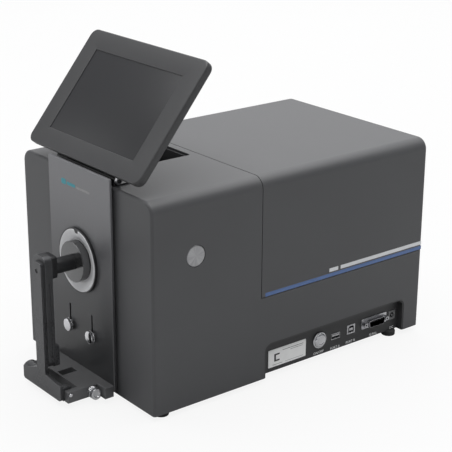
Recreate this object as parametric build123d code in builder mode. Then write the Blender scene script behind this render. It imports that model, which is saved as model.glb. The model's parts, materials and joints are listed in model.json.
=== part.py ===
from build123d import *
import os
from math import cos, hypot, radians, sin, tan

# Benchtop spectrophotometer: body, optics, tilting display, sample stage and clamp arm.
# Millimetres. +Z is up, the measuring port faces -Y, the connectors are on the +X side.
# The origin is under the middle of the instrument, on the surface that it stands on.

os.makedirs("parts", exist_ok=True)

# ---------------------------------------------------------------- driving dimensions
body_w = 240.0          # across the sides
body_d = 378.0          # front face to rear face
body_h = 226.5          # underside to roof
wall = 3.0              # housing and cover walls
roof_r = 13.0           # long roof edges
front_edge_r = 3.0
rear_edge_r = 4.0
foot_h = 6.0            # rubber feet below the underside
foot_r = 8.0
base_t = 2.5            # base plate
reach = 57.0            # the clamp arm's front, ahead of the body's face
seam_d = 138.0          # front face to the seam of the rear cover
seam_gap = 0.8
split_h = 94.0          # underside to the lower edge of the rear cover
fit = 0.3               # assembly clearance of covers and plates
axis_x = -3.0           # optical axis, left of the body's centre
port_h = 134.0          # optical axis above the underside
view_angle = 8.0        # viewing direction off the port's normal, degrees

# front panel and port
panel_w = 115.0
panel_low = 5.0         # panel's lower edge above the underside
panel_top = 236.5       # panel's upper edge above the underside
panel_front = 6.0       # panel face ahead of the body's face
panel_t = 2.5
collar_r = 35.3
collar_out = 9.0        # collar's front ahead of the body's face
ring_r = 33.8
ring_seat = 0.6         # ring's seat ahead of the panel's face
ring_proud = 0.2        # ring's rim ahead of the collar
ring_gap = 1.3          # ring's hole beyond the press pad
tube_r = 31.0           # port tube through the panel and the front wall
tube_wall = 3.0
tube_gap = 0.15
aperture_r = 12.7
aperture_t = 3.0
aperture_out = 5.0      # aperture plate's front ahead of the body's face
sphere_r = 38.0         # integrating sphere, outside
sphere_wall = 4.0
sphere_port_r = 14.0
flange_rim = 6.0        # flange beyond the sphere
flange_t = 3.0
flange_r = sphere_r + flange_rim
sphere_mid = flange_r   # front face to the sphere's centre

# transmission chamber
chamber_w = 60.0
chamber_l = 45.0
chamber_r = 3.0
chamber_right = 10.0    # right edge of the opening
chamber_front = sphere_mid + sphere_r + 2.0     # front face to the opening's front edge
liner_t = 1.5
bench_t = 4.0
bench_h = port_h - flange_r - bench_t           # optical bench's underside above the body's
chamber_floor = bench_h + bench_t               # chamber floor above the underside

# connector bay on the right side
bay_rear = 26.0         # bay's rear end to the rear face
bay_l = 206.0
bay_h = 38.0
bay_r = 8.0
bay_depth = 9.0
bay_t = 1.5
bay_floor_t = 2.0
bay_gap = 0.2
bay_shy = 0.5           # bay's rim behind the side's face

# stage, arm and sample rests
stage_h = 12.4
ledge_w = 112.0
ledge_out = 16.5
stage_w = 88.0
stage_out = 52.0
stage_slot_w = 11.0
stage_slot_l = 18.0
pivot_out = 49.0        # arm pivot ahead of the body's face
pivot_h = 9.0
pivot_r = 2.0
running = 0.05          # radial clearance of turning and sliding fits
ear_r = 7.0             # arm's right ear about the pivot
ear_w = 6.5
barrel_r = 9.5          # arm's left barrel about the pivot
foot_barrel_w = 23.0
swing_gap = 0.6         # between the arm's foot and the stage
foot_w = 74.0
foot_plate_t = 3.5
foot_low = 0.5          # foot's lower edge above the body's underside
foot_corner_r = 3.0
bar_w = 16.0
spine_w = 23.0
spine_low = 27.0        # spine's lower end above the underside
spine_above = 16.0      # spine's upper end above the optical axis
spine_r = 8.0
head_w = 20.0
head_above = 14.5
head_below = 10.0
head_r = 4.0
rod_r = 8.3
pad_r = 22.0
pad_t = 9.6
rod_travel = 10.0
rest_gap = 21.0         # sample rests either side of the optical axis
rest_h = 54.5
rest_slot_w = 3.0
rest_slot_low = 50.0
rest_slot_top = 79.0
rest_up = 22.0
rest_down = 2.5
rest_head_r = 7.0

# display
display_w = 204.0
display_h = 140.0
display_t = 10.0
display_r = 9.0
display_tilt = 39.0     # leaning back from upright, degrees
screen_w = 154.0
screen_h = 96.5
screen_low = 21.0
display_y = -4.1        # front lower edge, from the body's face
display_z = 241.7       # front lower edge above the underside
hinge_y = 6.5
hinge_z = 232.2
hinge_r = 4.0
hinge_pin_r = 2.0

# ---------------------------------------------------------------- datums
face_y = (reach - body_d) / 2
rear_y = face_y + body_d
base_z = foot_h
roof_z = base_z + body_h
seam_y = face_y + seam_d
split_z = base_z + split_h
port_z = base_z + port_h
half_w = body_w / 2
inner_w = body_w - 2 * wall
chamber_x = chamber_right - chamber_w / 2
chamber_y = face_y + chamber_front + chamber_l / 2
bay_start = rear_y - bay_rear - bay_l
bay_y = bay_start + bay_l / 2
bay_floor_x = half_w - bay_depth
pivot_y = face_y - pivot_out
pivot_z = base_z + pivot_h


def front(out=0.0):
    """Plane parallel to the body's face, ahead of it by out; extrusions go forwards."""
    return Plane.XZ.offset(out - face_y)


def side(x):
    """Plane across X; extrusions go towards +X."""
    return Plane.YZ.offset(x)


def level(z):
    """Horizontal plane; extrusions go up."""
    return Plane.XY.offset(z)


def save(piece, node):
    piece.part.label = node
    export_step(piece.part, f"parts/{node}.step")


def arch(width, low, high, radius):
    """Rectangle on its lower edge with rounded upper corners, the body's cross-section."""
    with BuildSketch() as outline:
        with Locations((0, low)):
            Rectangle(width, high - low, align=(Align.CENTER, Align.MIN))
        fillet(outline.vertices().group_by(Axis.Y)[-1], radius)
    return outline.sketch


def bay_outline(grow):
    """Outline of the connector bay, open below, larger all round by grow."""
    with BuildSketch() as outline:
        with Locations((bay_y, base_z - fit)):
            Rectangle(bay_l + 2 * grow, bay_h + fit + grow, align=(Align.CENTER, Align.MIN))
        fillet(outline.vertices().group_by(Axis.Y)[-1], bay_r + grow)
    return outline.sketch


bay_hole = bay_outline(bay_t + bay_gap)
bay_outer = bay_outline(bay_t)
bay_inner = bay_outline(0.0)

# ================================================================ housing
body_arch = arch(body_w, base_z, roof_z, roof_r)
hollow_arch = arch(inner_w, base_z - 1, roof_z - wall, roof_r - wall)
cover_arch = arch(body_w, split_z + seam_gap, roof_z, roof_r)
cover_hollow = arch(inner_w, split_z - 1, roof_z - wall, roof_r - wall)
disc_y = face_y + 53.2
disc_z = base_z + 161.8
disc_r = 11.5
disc_t = 1.5
disc_gap, disc_seat = 0.1, 3.0
rail_h, rail_t = 26.0, 3.0
rail_foot, rail_ends = 10.0, 12.0      # height below the seam, clear length at each end
rail_l = rear_y - seam_y - 2 * rail_ends

with BuildPart() as main_housing:
    with BuildSketch(front()):
        add(body_arch)
    extrude(amount=-seam_d)
    with BuildSketch(level(base_z)):
        with Locations((0, (seam_y + rear_y) / 2)):
            Rectangle(body_w, rear_y - seam_y)
    extrude(amount=split_h)
    rim = main_housing.edges().filter_by_position(Axis.Y, face_y, face_y)
    fillet(rim.filter_by_position(Axis.Z, base_z + 1, roof_z), front_edge_r)
    back_corners = main_housing.edges().filter_by(Axis.Z).filter_by_position(Axis.Y, rear_y, rear_y)
    fillet(back_corners, rear_edge_r)
    with BuildSketch(front(-wall)):
        add(hollow_arch)
    extrude(amount=wall - seam_d, mode=Mode.SUBTRACT)
    with BuildSketch(level(base_z)):
        with Locations((0, (seam_y + rear_y - wall) / 2)):
            Rectangle(inner_w, rear_y - wall - seam_y)
    extrude(amount=split_h, mode=Mode.SUBTRACT)
    # port tube, transmission opening, connector bay and disc recess
    with BuildSketch(front(1)):
        with Locations((axis_x, port_z)):
            Circle(tube_r + fit)
    extrude(amount=-wall - 2, mode=Mode.SUBTRACT)
    with BuildSketch(level(roof_z - wall - 1)):
        with Locations((chamber_x, chamber_y)):
            RectangleRounded(chamber_w, chamber_l, chamber_r)
    extrude(amount=wall + 2, mode=Mode.SUBTRACT)
    with BuildSketch(side(half_w - wall - 1)):
        add(bay_hole)
    extrude(amount=wall + 2, mode=Mode.SUBTRACT)
    with BuildSketch(side(half_w)):
        with Locations((disc_y, disc_z)):
            Circle(disc_r + disc_gap)
    extrude(amount=-disc_t, mode=Mode.SUBTRACT)
    with BuildSketch(side(half_w - wall)):
        with Locations((disc_y, disc_z)):
            Circle(disc_r - disc_seat)
    extrude(amount=wall, mode=Mode.SUBTRACT)
    # rails on the inner sides that the rear cover slides down over
    for hand in (1, -1):
        with BuildSketch(level(split_z - rail_foot)):
            with Locations((hand * (inner_w / 2 - rail_t / 2), (seam_y + rear_y) / 2)):
                Rectangle(rail_t, rail_l)
        extrude(amount=rail_foot)
        with BuildSketch(level(split_z - rail_foot)):
            with Locations((hand * (inner_w / 2 - fit - rail_t / 2), (seam_y + rear_y) / 2)):
                Rectangle(rail_t, rail_l)
        extrude(amount=rail_h)
save(main_housing, "main_housing")

# rear cover with vents in its back wall and grooves for the side stripes
stripe_t = 0.5
blue_low, blue_h = 95.0, 4.2
white_low, white_h = 100.8, 4.2
stripe_start = face_y + 143.8
stripe_end = rear_y - 1.5
dash_spans = [(face_y + 234.0, face_y + 247.0), (face_y + 250.6, stripe_end)]
vent_count = 9
vent_w, vent_h, vent_pitch = 4.0, 46.0, 11.0
vent_z = 165.0          # vents' middle above the underside


with BuildPart() as rear_cover:
    with BuildSketch(front(-seam_d - seam_gap)):
        add(cover_arch)
    extrude(amount=seam_d + seam_gap - body_d)
    back_rim = rear_cover.edges().filter_by_position(Axis.Y, rear_y, rear_y)
    fillet(back_rim.filter_by_position(Axis.Z, split_z + seam_gap + 1, roof_z), rear_edge_r)
    with BuildSketch(front(-seam_d)):
        add(cover_hollow)
    extrude(amount=seam_d + wall - body_d, mode=Mode.SUBTRACT)
    with BuildSketch(front(-body_d - 1)):
        with Locations((0, base_z + vent_z)):
            with GridLocations(vent_pitch, 1, vent_count, 1):
                SlotOverall(vent_h, vent_w, rotation=90)
    extrude(amount=wall + 2, mode=Mode.SUBTRACT)
    for hand in (1, -1):
        with BuildSketch(side(hand * half_w)):
            for start, end in [(stripe_start, stripe_end)]:
                with Locations(((start + end) / 2, base_z + blue_low + blue_h / 2)):
                    Rectangle(end - start, blue_h)
            for start, end in dash_spans:
                with Locations(((start + end) / 2, base_z + white_low + white_h / 2)):
                    Rectangle(end - start, white_h)
        extrude(amount=-hand * stripe_t, mode=Mode.SUBTRACT)
save(rear_cover, "rear_cover")

with BuildPart() as blue_stripes:
    for hand in (1, -1):
        with BuildSketch(side(hand * half_w)):
            with Locations(((stripe_start + stripe_end) / 2, base_z + blue_low + blue_h / 2)):
                Rectangle(stripe_end - stripe_start, blue_h)
        extrude(amount=-hand * stripe_t)
save(blue_stripes, "blue_stripes")

with BuildPart() as white_stripes:
    for hand in (1, -1):
        with BuildSketch(side(hand * half_w)):
            for start, end in dash_spans:
                with Locations(((start + end) / 2, base_z + white_low + white_h / 2)):
                    Rectangle(end - start, white_h)
        extrude(amount=-hand * stripe_t)
save(white_stripes, "white_stripes")

standoff_h, standoff_r = 11.5, 3.2
hole_inset = 6.0        # mounting holes from the boards' edges
with BuildPart() as base_plate:
    with BuildSketch(level(base_z)):
        with Locations((0, (face_y + rear_y) / 2)):
            Rectangle(inner_w - 2 * fit, body_d - 2 * wall - 2 * fit)
        with Locations((half_w, bay_y)):
            Rectangle(2 * (bay_depth + bay_floor_t + fit), bay_l + 2 * bay_t + 2 * fit, mode=Mode.SUBTRACT)
    extrude(amount=base_t)
save(base_plate, "base_plate")

foot_x = half_w - foot_r - 4
foot_front, foot_rear = 17.0, 36.0      # feet from the front and rear faces
foot_spots = [(x, y) for x in (-foot_x, foot_x) for y in (face_y + foot_front, rear_y - foot_rear)]
with BuildPart() as rubber_feet:
    with BuildSketch(level(0)):
        with Locations(*foot_spots):
            Circle(foot_r)
    extrude(amount=foot_h)
    chamfer(rubber_feet.edges().group_by(Axis.Z)[0], 1.0)
save(rubber_feet, "rubber_feet")

# cover screws into the back of the rear cover
cover_screw_r, cover_screw_l = 1.5, 5.0
cover_screw_x, cover_screw_low, cover_screw_high = 100.0, 20.0, 24.0
screw_spots = [
    (x, z) for x in (-cover_screw_x, cover_screw_x) for z in (split_z + cover_screw_low, roof_z - cover_screw_high)
]
with BuildPart() as cover_screws:
    with BuildSketch(front(-body_d + wall)):
        with Locations(*screw_spots):
            Circle(cover_screw_r)
    extrude(amount=cover_screw_l)
save(cover_screws, "cover_screws")

# slotted disc in the right side
slot_count = 6
slot_tip, slot_end, slot_half = 2.6, 8.4, 2.6     # wedge slots: radii of both ends, half width
with BuildPart() as side_disc:
    with BuildSketch(side(half_w - disc_t)):
        with Locations((disc_y, disc_z)):
            Circle(disc_r)
    extrude(amount=disc_t)
    chamfer(side_disc.faces().sort_by(Axis.X)[-1].edges(), 0.8)
    with BuildSketch(side(half_w - disc_t)):
        with Locations((disc_y, disc_z)):
            with PolarLocations(0, slot_count):
                with BuildLine():
                    Polyline((slot_tip, 0), (slot_end, slot_half), (slot_end, -slot_half), close=True)
                make_face()
    extrude(amount=disc_t, mode=Mode.SUBTRACT)
save(side_disc, "side_disc")

# ================================================================ front panel and port
pocket_w = 14.0
nut_w, nut_room = 9.0, 2.0              # rest's square nut, and its room at each end of the pocket
pocket_low = rest_h - rest_down - nut_w / 2 - nut_room
pocket_top = rest_h + rest_up + nut_w / 2 + nut_room
rest_spots = [axis_x - rest_gap, axis_x + rest_gap]

with BuildPart() as front_panel:
    with BuildSketch(front(panel_front - panel_t)):
        with Locations((0, base_z + (panel_low + panel_top) / 2)):
            RectangleRounded(panel_w, panel_top - panel_low, 2)
    extrude(amount=panel_t)
    chamfer(front_panel.faces().sort_by(Axis.Y)[0].edges(), 0.6)
    with BuildSketch(front(0)):
        with Locations((axis_x, port_z)):
            Circle(tube_r + tube_gap)
        for x in rest_spots:
            with Locations((x, base_z + (rest_slot_low + rest_slot_top) / 2)):
                SlotOverall(rest_slot_top - rest_slot_low, rest_slot_w, rotation=90)
    extrude(amount=panel_front, mode=Mode.SUBTRACT)
save(front_panel, "front_panel")

backer_inset = 3.5
with BuildPart() as panel_backer:
    with BuildSketch(front()):
        with Locations((0, base_z + (panel_low + body_h) / 2)):
            Rectangle(panel_w - 2 * backer_inset, body_h - panel_low - 2 * backer_inset)
        with Locations((axis_x, port_z)):
            Circle(tube_r + tube_gap, mode=Mode.SUBTRACT)
        for x in rest_spots:
            with Locations((x, base_z + (pocket_low + pocket_top) / 2)):
                Rectangle(pocket_w, pocket_top - pocket_low, mode=Mode.SUBTRACT)
    extrude(amount=panel_front - panel_t)
save(panel_backer, "panel_backer")

tube_in = 4.0           # tube's length behind the body's face
ring_back = panel_front + ring_seat
key_low_w, key_high_w, key_depth = 3.2, 8.4, 3.8


def key_sketch(grow):
    """Tapered key that points from the collar towards the port's axis, larger all round by grow."""
    low = port_z + ring_r - key_depth - grow
    high = port_z + (collar_r + ring_r) / 2
    with BuildSketch() as outline:
        with BuildLine():
            Polyline(
                (axis_x - key_low_w / 2 - grow, low),
                (axis_x + key_low_w / 2 + grow, low),
                (axis_x + key_high_w / 2 + grow, high),
                (axis_x - key_high_w / 2 - grow, high),
                close=True,
            )
        make_face()
    return outline.sketch


key_outline = key_sketch(0.0)
key_clearance = key_sketch(fit)
with BuildPart() as port_tube:
    with BuildSketch(front(-wall - tube_in)):
        with Locations((axis_x, port_z)):
            Circle(tube_r)
            Circle(tube_r - tube_wall, mode=Mode.SUBTRACT)
    extrude(amount=wall + tube_in + panel_front)
    with BuildSketch(front(panel_front)):
        with Locations((axis_x, port_z)):
            Circle(collar_r)
            Circle(tube_r - tube_wall, mode=Mode.SUBTRACT)
    extrude(amount=collar_out - panel_front)
    with BuildSketch(front(ring_back)):
        with Locations((axis_x, port_z)):
            Circle(ring_r + running)
    extrude(amount=collar_out - ring_back, mode=Mode.SUBTRACT)
    # key at the top that sets the ring's angle
    with BuildSketch(front(ring_back)):
        add(key_outline)
    extrude(amount=collar_out - ring_back)
save(port_tube, "port_tube")

# white ring, dished towards the aperture, with a skirt inside the tube
ring_face = collar_out + ring_proud
ring_hole_r = pad_r + ring_gap
skirt_r = tube_r - tube_wall - running
skirt_back = aperture_out + 0.1
lip_out = aperture_out + 0.7    # ring's inner edge ahead of the body's face
rim_t = 0.5
with BuildPart() as port_ring:
    with BuildSketch(Plane.YZ.offset(axis_x)):
        with BuildLine():
            Polyline(
                (face_y - ring_back, port_z + skirt_r),
                (face_y - ring_back, port_z + ring_r),
                (face_y - ring_face + rim_t, port_z + ring_r),
                (face_y - ring_face, port_z + ring_r - rim_t),
                (face_y - lip_out, port_z + ring_hole_r),
                (face_y - skirt_back, port_z + ring_hole_r),
                (face_y - skirt_back, port_z + skirt_r),
                close=True,
            )
        make_face()
    revolve(axis=Axis((axis_x, 0, port_z), (0, 1, 0)))
    with BuildSketch(front(skirt_back)):
        add(key_clearance)
    extrude(amount=ring_face, mode=Mode.SUBTRACT)
save(port_ring, "port_ring")

with BuildPart() as aperture_plate:
    with BuildSketch(front(aperture_out - aperture_t)):
        with Locations((axis_x, port_z)):
            Circle(tube_r - tube_wall - running)
            Circle(aperture_r, mode=Mode.SUBTRACT)
    extrude(amount=aperture_t)
save(aperture_plate, "aperture_plate")

# ================================================================ optics inside
lamp_l, lamp_w = 26.0, 40.0
lamp_hole_r = 6.0
lamp_floor_t, lamp_wall = 6.0, 3.0
lamp_z = port_z + sphere_r + 1.0
beam_hole_r = 7.0
neck_wall = 6.0
lamp_wall_h = 28.0
flash_r, flash_l = 8.0, 20.0
lamp_y = face_y + sphere_mid - flange_t - 1 - lamp_l / 2
beam_x = axis_x - (sphere_mid + sphere_r) * tan(radians(view_angle)) + 1.0


def half_sphere(hand):
    """Half of the integrating sphere; hand is 1 for the front half, -1 for the rear one."""
    centre = (axis_x, face_y + sphere_mid, port_z)
    neck_l = sphere_mid + aperture_out - aperture_t
    with BuildPart() as half:
        with Locations(centre):
            Sphere(sphere_r)
        with BuildSketch(front(-sphere_mid)):
            with Locations((axis_x, port_z)):
                Circle(flange_r)
        extrude(amount=hand * flange_t)
        if hand > 0:
            with BuildSketch(front(-sphere_mid)):
                with Locations((axis_x, port_z)):
                    Circle(sphere_port_r + neck_wall)
            extrude(amount=neck_l)
        with Locations(centre):
            Sphere(sphere_r - sphere_wall, mode=Mode.SUBTRACT)
        if hand > 0:
            with BuildSketch(front(-sphere_mid)):
                with Locations((axis_x, port_z)):
                    Circle(sphere_port_r)
            extrude(amount=neck_l, mode=Mode.SUBTRACT)
            with BuildSketch(level(port_z)):
                with Locations((axis_x, lamp_y)):
                    Circle(lamp_hole_r)
            extrude(amount=sphere_r + 2, mode=Mode.SUBTRACT)
        else:
            with BuildSketch(front(-sphere_mid)):
                with Locations((beam_x, port_z)):
                    Circle(beam_hole_r)
            extrude(amount=-sphere_r - 2, mode=Mode.SUBTRACT)
        keep = Keep.TOP if hand > 0 else Keep.BOTTOM
        split(bisect_by=front(-sphere_mid), keep=keep)
    return half


sphere_front = half_sphere(1)
save(sphere_front, "sphere_front")
sphere_rear = half_sphere(-1)
save(sphere_rear, "sphere_rear")

bench_z = base_z + bench_h + bench_t
bench_start = 8.0
lens_l, case_l = 33.0, 58.0
bench_end = chamber_front + chamber_l + 2.0 + lens_l + case_l + 6.0
bench_y = face_y + (bench_start + bench_end) / 2
with BuildPart() as optical_bench:
    with BuildSketch(level(bench_z - bench_t)):
        with Locations((0, bench_y)):
            Rectangle(190, bench_end - bench_start)
            with GridLocations(120, 150, 2, 2):
                Circle(9, mode=Mode.SUBTRACT)
    extrude(amount=bench_t)
    # posts down to the base plate
    with BuildSketch(level(base_z + base_t)):
        with Locations((0, face_y + 83)):
            with GridLocations(170, 126, 2, 2):
                Circle(6)
    extrude(amount=bench_h - base_t + 1)
    # saddle under the sphere's flanges
    with BuildSketch(front(-sphere_mid - flange_t)):
        with Locations((axis_x, bench_z - 1)):
            Rectangle(70, 27, align=(Align.CENTER, Align.MIN))
        with Locations((axis_x, port_z)):
            Circle(flange_r + fit, mode=Mode.SUBTRACT)
    extrude(amount=2 * flange_t)
save(optical_bench, "optical_bench")

with BuildPart() as lamp_housing:
    with BuildSketch(level(lamp_z)):
        with Locations((axis_x, lamp_y)):
            RectangleRounded(lamp_w, lamp_l, 4)
            Circle(lamp_hole_r, mode=Mode.SUBTRACT)
    extrude(amount=lamp_floor_t)
    with BuildSketch(level(lamp_z + lamp_floor_t)):
        with Locations((axis_x, lamp_y)):
            RectangleRounded(lamp_w, lamp_l, 4)
            RectangleRounded(lamp_w - 2 * lamp_wall, lamp_l - 2 * lamp_wall, 2, mode=Mode.SUBTRACT)
    extrude(amount=lamp_wall_h)
save(lamp_housing, "lamp_housing")

with BuildPart() as flash_lamp:
    with BuildSketch(level(lamp_z + lamp_floor_t + 1)):
        with Locations((axis_x, lamp_y)):
            Circle(flash_r)
    extrude(amount=flash_l)
    fillet(flash_lamp.edges().group_by(Axis.Z)[-1], flash_r / 2)
save(flash_lamp, "flash_lamp")

liner_top = roof_z - wall
lip_w = 8.0
with BuildPart() as chamber_liner:
    with BuildSketch(level(base_z + chamber_floor)):
        with Locations((chamber_x, chamber_y)):
            RectangleRounded(chamber_w, chamber_l, chamber_r)
    extrude(amount=liner_top - base_z - chamber_floor)
    with BuildSketch(level(liner_top - liner_t)):
        with Locations((chamber_x, chamber_y)):
            Rectangle(chamber_w + 2 * lip_w, chamber_l + lip_w - 2)
    extrude(amount=liner_t)
    with BuildSketch(level(base_z + chamber_floor + liner_t)):
        with Locations((chamber_x, chamber_y)):
            RectangleRounded(chamber_w - 2 * liner_t, chamber_l - 2 * liner_t, 2)
    extrude(amount=liner_top, mode=Mode.SUBTRACT)
    with BuildSketch(front(-chamber_front + 1)):
        with Locations((chamber_x, port_z)):
            Circle(9)
    extrude(amount=-chamber_l - 2, mode=Mode.SUBTRACT)
save(chamber_liner, "chamber_liner")

# holder for a square cell on the chamber's floor
cell_w = 12.6
holder_w, holder_h, holder_floor = 26.0, 52.0, 4.0
window_w, window_h = 6.0, 20.0
holder_z = base_z + chamber_floor + liner_t
with BuildPart() as cell_holder:
    with BuildSketch(level(holder_z)):
        with Locations((chamber_x, chamber_y)):
            Rectangle(holder_w, holder_w)
    extrude(amount=holder_h)
    with BuildSketch(level(holder_z + holder_floor)):
        with Locations((chamber_x, chamber_y)):
            Rectangle(cell_w, cell_w)
    extrude(amount=holder_h, mode=Mode.SUBTRACT)
    with BuildSketch(front(-chamber_front)):
        with Locations((chamber_x, port_z)):
            Rectangle(window_w, window_h)
    extrude(amount=-chamber_l, mode=Mode.SUBTRACT)
save(cell_holder, "cell_holder")

tube_y = face_y + chamber_front + chamber_l + 2
lens_r, lens_t, lens_in, lens_edge = 12.0, 6.0, 4.0, 1.5
lens_tube_wall = 3.0
with BuildPart() as lens_tube:
    with BuildSketch(front(face_y - tube_y)):
        with Locations((chamber_x, port_z)):
            Circle(lens_r + lens_tube_wall)
            Circle(lens_r, mode=Mode.SUBTRACT)
    extrude(amount=-lens_l)
save(lens_tube, "lens_tube")

with BuildPart() as objective_lens:
    with BuildSketch(front(face_y - tube_y - lens_in)):
        with Locations((chamber_x, port_z)):
            Circle(lens_r)
    extrude(amount=-lens_t)
    chamfer(objective_lens.edges(), lens_edge)
save(objective_lens, "objective_lens")

case_y = tube_y + lens_l
case_w = 100.0
case_wall = 4.0
case_above = 34.0       # case's top above the optical axis
entry_r, entry_depth = 9.0, 3.0
slit_w, slit_h = 0.8, 8.0
case_top = port_z + case_above
with BuildPart() as spectrometer_case:
    with BuildSketch(level(bench_z)):
        with Locations((chamber_x, case_y + case_l / 2)):
            Rectangle(case_w, case_l)
    extrude(amount=case_top - bench_z)
    with BuildSketch(level(bench_z + case_wall)):
        with Locations((chamber_x, case_y + case_l / 2)):
            Rectangle(case_w - 2 * case_wall, case_l - 2 * case_wall)
    extrude(amount=case_top, mode=Mode.SUBTRACT)
    # light enters by a counterbore and a narrow slit
    with BuildSketch(front(face_y - case_y)):
        with Locations((chamber_x, port_z)):
            Circle(entry_r)
    extrude(amount=-entry_depth, mode=Mode.SUBTRACT)
    with BuildSketch(front(face_y - case_y)):
        with Locations((chamber_x, port_z)):
            Rectangle(slit_w, slit_h)
    extrude(amount=-case_wall - 1, mode=Mode.SUBTRACT)
save(spectrometer_case, "spectrometer_case")

lid_t, lid_hole_r, lid_hole_inset = 3.0, 1.6, 5.0
with BuildPart() as spectrometer_lid:
    with BuildSketch(level(case_top)):
        with Locations((chamber_x, case_y + case_l / 2)):
            Rectangle(case_w, case_l)
            with GridLocations(case_w - 2 * lid_hole_inset, case_l - 2 * lid_hole_inset, 2, 2):
                Circle(lid_hole_r, mode=Mode.SUBTRACT)
    extrude(amount=lid_t)
save(spectrometer_lid, "spectrometer_lid")

grating_y = case_y + case_l - case_wall
grating_r, grating_t, grating_curve, grating_dish = 18.0, 10.0, 60.0, 2.0
with BuildPart() as concave_grating:
    with BuildSketch(front(face_y - grating_y)):
        with Locations((chamber_x, port_z)):
            Circle(grating_r)
    extrude(amount=grating_t)
    with Locations((chamber_x, grating_y - grating_t - grating_curve + grating_dish, port_z)):
        Sphere(grating_curve, mode=Mode.SUBTRACT)
save(concave_grating, "concave_grating")

detector_x = chamber_x + 30.0
detector_w, detector_h, chip_w, chip_h, chip_t = 28.0, 44.0, 10.0, 32.0, 3.0
board_t = 1.6
with BuildPart() as detector_board:
    with BuildSketch(front(face_y - case_y - case_wall)):
        with Locations((detector_x, port_z)):
            Rectangle(detector_w, detector_h)
    extrude(amount=-board_t)
    with BuildSketch(front(face_y - case_y - case_wall - board_t)):
        with Locations((detector_x, port_z)):
            Rectangle(chip_w, chip_h)
    extrude(amount=-chip_t)
save(detector_board, "detector_board")

# ================================================================ electronics inside
board_z = base_z + base_t + standoff_h
main_board_w, main_board_l = 112.0, 200.0
main_board_x, main_board_y = 36.0, face_y + 256
driver_w, driver_l = 74.0, 140.0
driver_x, driver_y = -68.0, face_y + 232
capacitor_r, capacitor_h, capacitor_edge = 15.0, 42.0, 2.0

with BuildPart() as main_board:
    with BuildSketch(level(board_z)):
        with Locations((main_board_x, main_board_y)):
            Rectangle(main_board_w, main_board_l)
    extrude(amount=board_t)
    with BuildSketch(level(board_z + board_t)):
        with Locations((main_board_x, main_board_y)):
            with Locations((-20, 20), (18, -46)):
                Rectangle(26, 26)
            with Locations((22, 50), (-30, -60)):
                Rectangle(14, 20)
    extrude(amount=2)
save(main_board, "main_board")

with BuildPart() as driver_board:
    with BuildSketch(level(board_z)):
        with Locations((driver_x, driver_y)):
            Rectangle(driver_w, driver_l)
    extrude(amount=board_t)
    with BuildSketch(level(board_z + board_t)):
        with Locations((driver_x - 10, driver_y - 40)):
            Rectangle(30, 30)
    extrude(amount=20)
save(driver_board, "driver_board")

with BuildPart() as flash_capacitor:
    with BuildSketch(level(board_z + board_t)):
        with Locations((driver_x + 8, driver_y + 30)):
            Circle(capacitor_r)
    extrude(amount=capacitor_h)
    fillet(flash_capacitor.edges().group_by(Axis.Z)[-1], capacitor_edge)
save(flash_capacitor, "flash_capacitor")

with BuildPart() as board_standoffs:
    with BuildSketch(level(base_z + base_t)):
        with Locations((main_board_x, main_board_y)):
            with GridLocations(main_board_w - 2 * hole_inset, main_board_l - 2 * hole_inset, 2, 2):
                RegularPolygon(standoff_r, 6)
        with Locations((driver_x, driver_y)):
            with GridLocations(driver_w - 2 * hole_inset, driver_l - 2 * hole_inset, 2, 2):
                RegularPolygon(standoff_r, 6)
    extrude(amount=standoff_h)
save(board_standoffs, "board_standoffs")

# ================================================================ connector bay
label_w, label_h, label_t = 53.7, 20.7, 0.6
label_y, label_z = bay_start + 37.5, base_z + 15.3
button_y, button_z = bay_start + 84.0, base_z + 18.6
button_r, button_wall = 7.9, 1.0
usb_a_w, usb_a_h = 13.1, 7.0
usb_a_y, usb_a_z = bay_start + 109.0, base_z + 16.3
usb_b_w, usb_b_h = 12.1, 11.0
usb_b_y, usb_b_z = bay_start + 132.5, base_z + 18.3
serial_y, serial_z = bay_start + 168.5, base_z + 19.0
serial_w, serial_h = 39.2, 12.5
serial_pitch = 33.3     # jackscrew spacing
jack_w, jack_h = 10.6, 11.0
jack_y, jack_z = bay_start + 197.0, base_z + 18.7
plug_depth = 12.0       # connectors behind the bay's floor
mouth_depth = 9.0
below_more, below_h = 20.0, 4.0         # what is cut off below the underside
flange_out = 0.6        # sockets' faces ahead of the bay's floor
cut_gap = 0.1
jackscrew_r = 1.6
plate_t = 0.8           # D connector's flange
shell_out = 6.0

with BuildPart() as port_bay:
    with BuildSketch(side(bay_floor_x - bay_floor_t)):
        add(bay_outer)
    extrude(amount=bay_depth + bay_floor_t - bay_shy)
    with BuildSketch(side(bay_floor_x)):
        add(bay_inner)
    extrude(amount=bay_depth, mode=Mode.SUBTRACT)
    below = side(bay_floor_x - bay_floor_t)
    with BuildSketch(below):
        with Locations((bay_y, base_z)):
            Rectangle(bay_l + below_more, below_h, align=(Align.CENTER, Align.MAX))
    extrude(amount=bay_depth + bay_floor_t, mode=Mode.SUBTRACT)
    with BuildSketch(below):
        with Locations((button_y, button_z)):
            Circle(button_r + button_wall + cut_gap)
        with Locations((usb_a_y, usb_a_z)):
            Rectangle(usb_a_w + cut_gap, usb_a_h + cut_gap)
        with Locations((usb_b_y, usb_b_z)):
            Rectangle(usb_b_w + cut_gap, usb_b_h + cut_gap)
        with Locations((serial_y, serial_z)):
            Rectangle(25.4, 8.6)
            with Locations((-serial_pitch / 2, 0), (serial_pitch / 2, 0)):
                Circle(jackscrew_r + cut_gap)
        with Locations((jack_y, jack_z)):
            Rectangle(jack_w + cut_gap, jack_h + cut_gap)
    extrude(amount=bay_floor_t, mode=Mode.SUBTRACT)
save(port_bay, "port_bay")

with BuildPart() as label_plate:
    with BuildSketch(side(bay_floor_x)):
        with Locations((label_y, label_z)):
            RectangleRounded(label_w, label_h, 1)
    extrude(amount=label_t)
save(label_plate, "label_plate")

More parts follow.
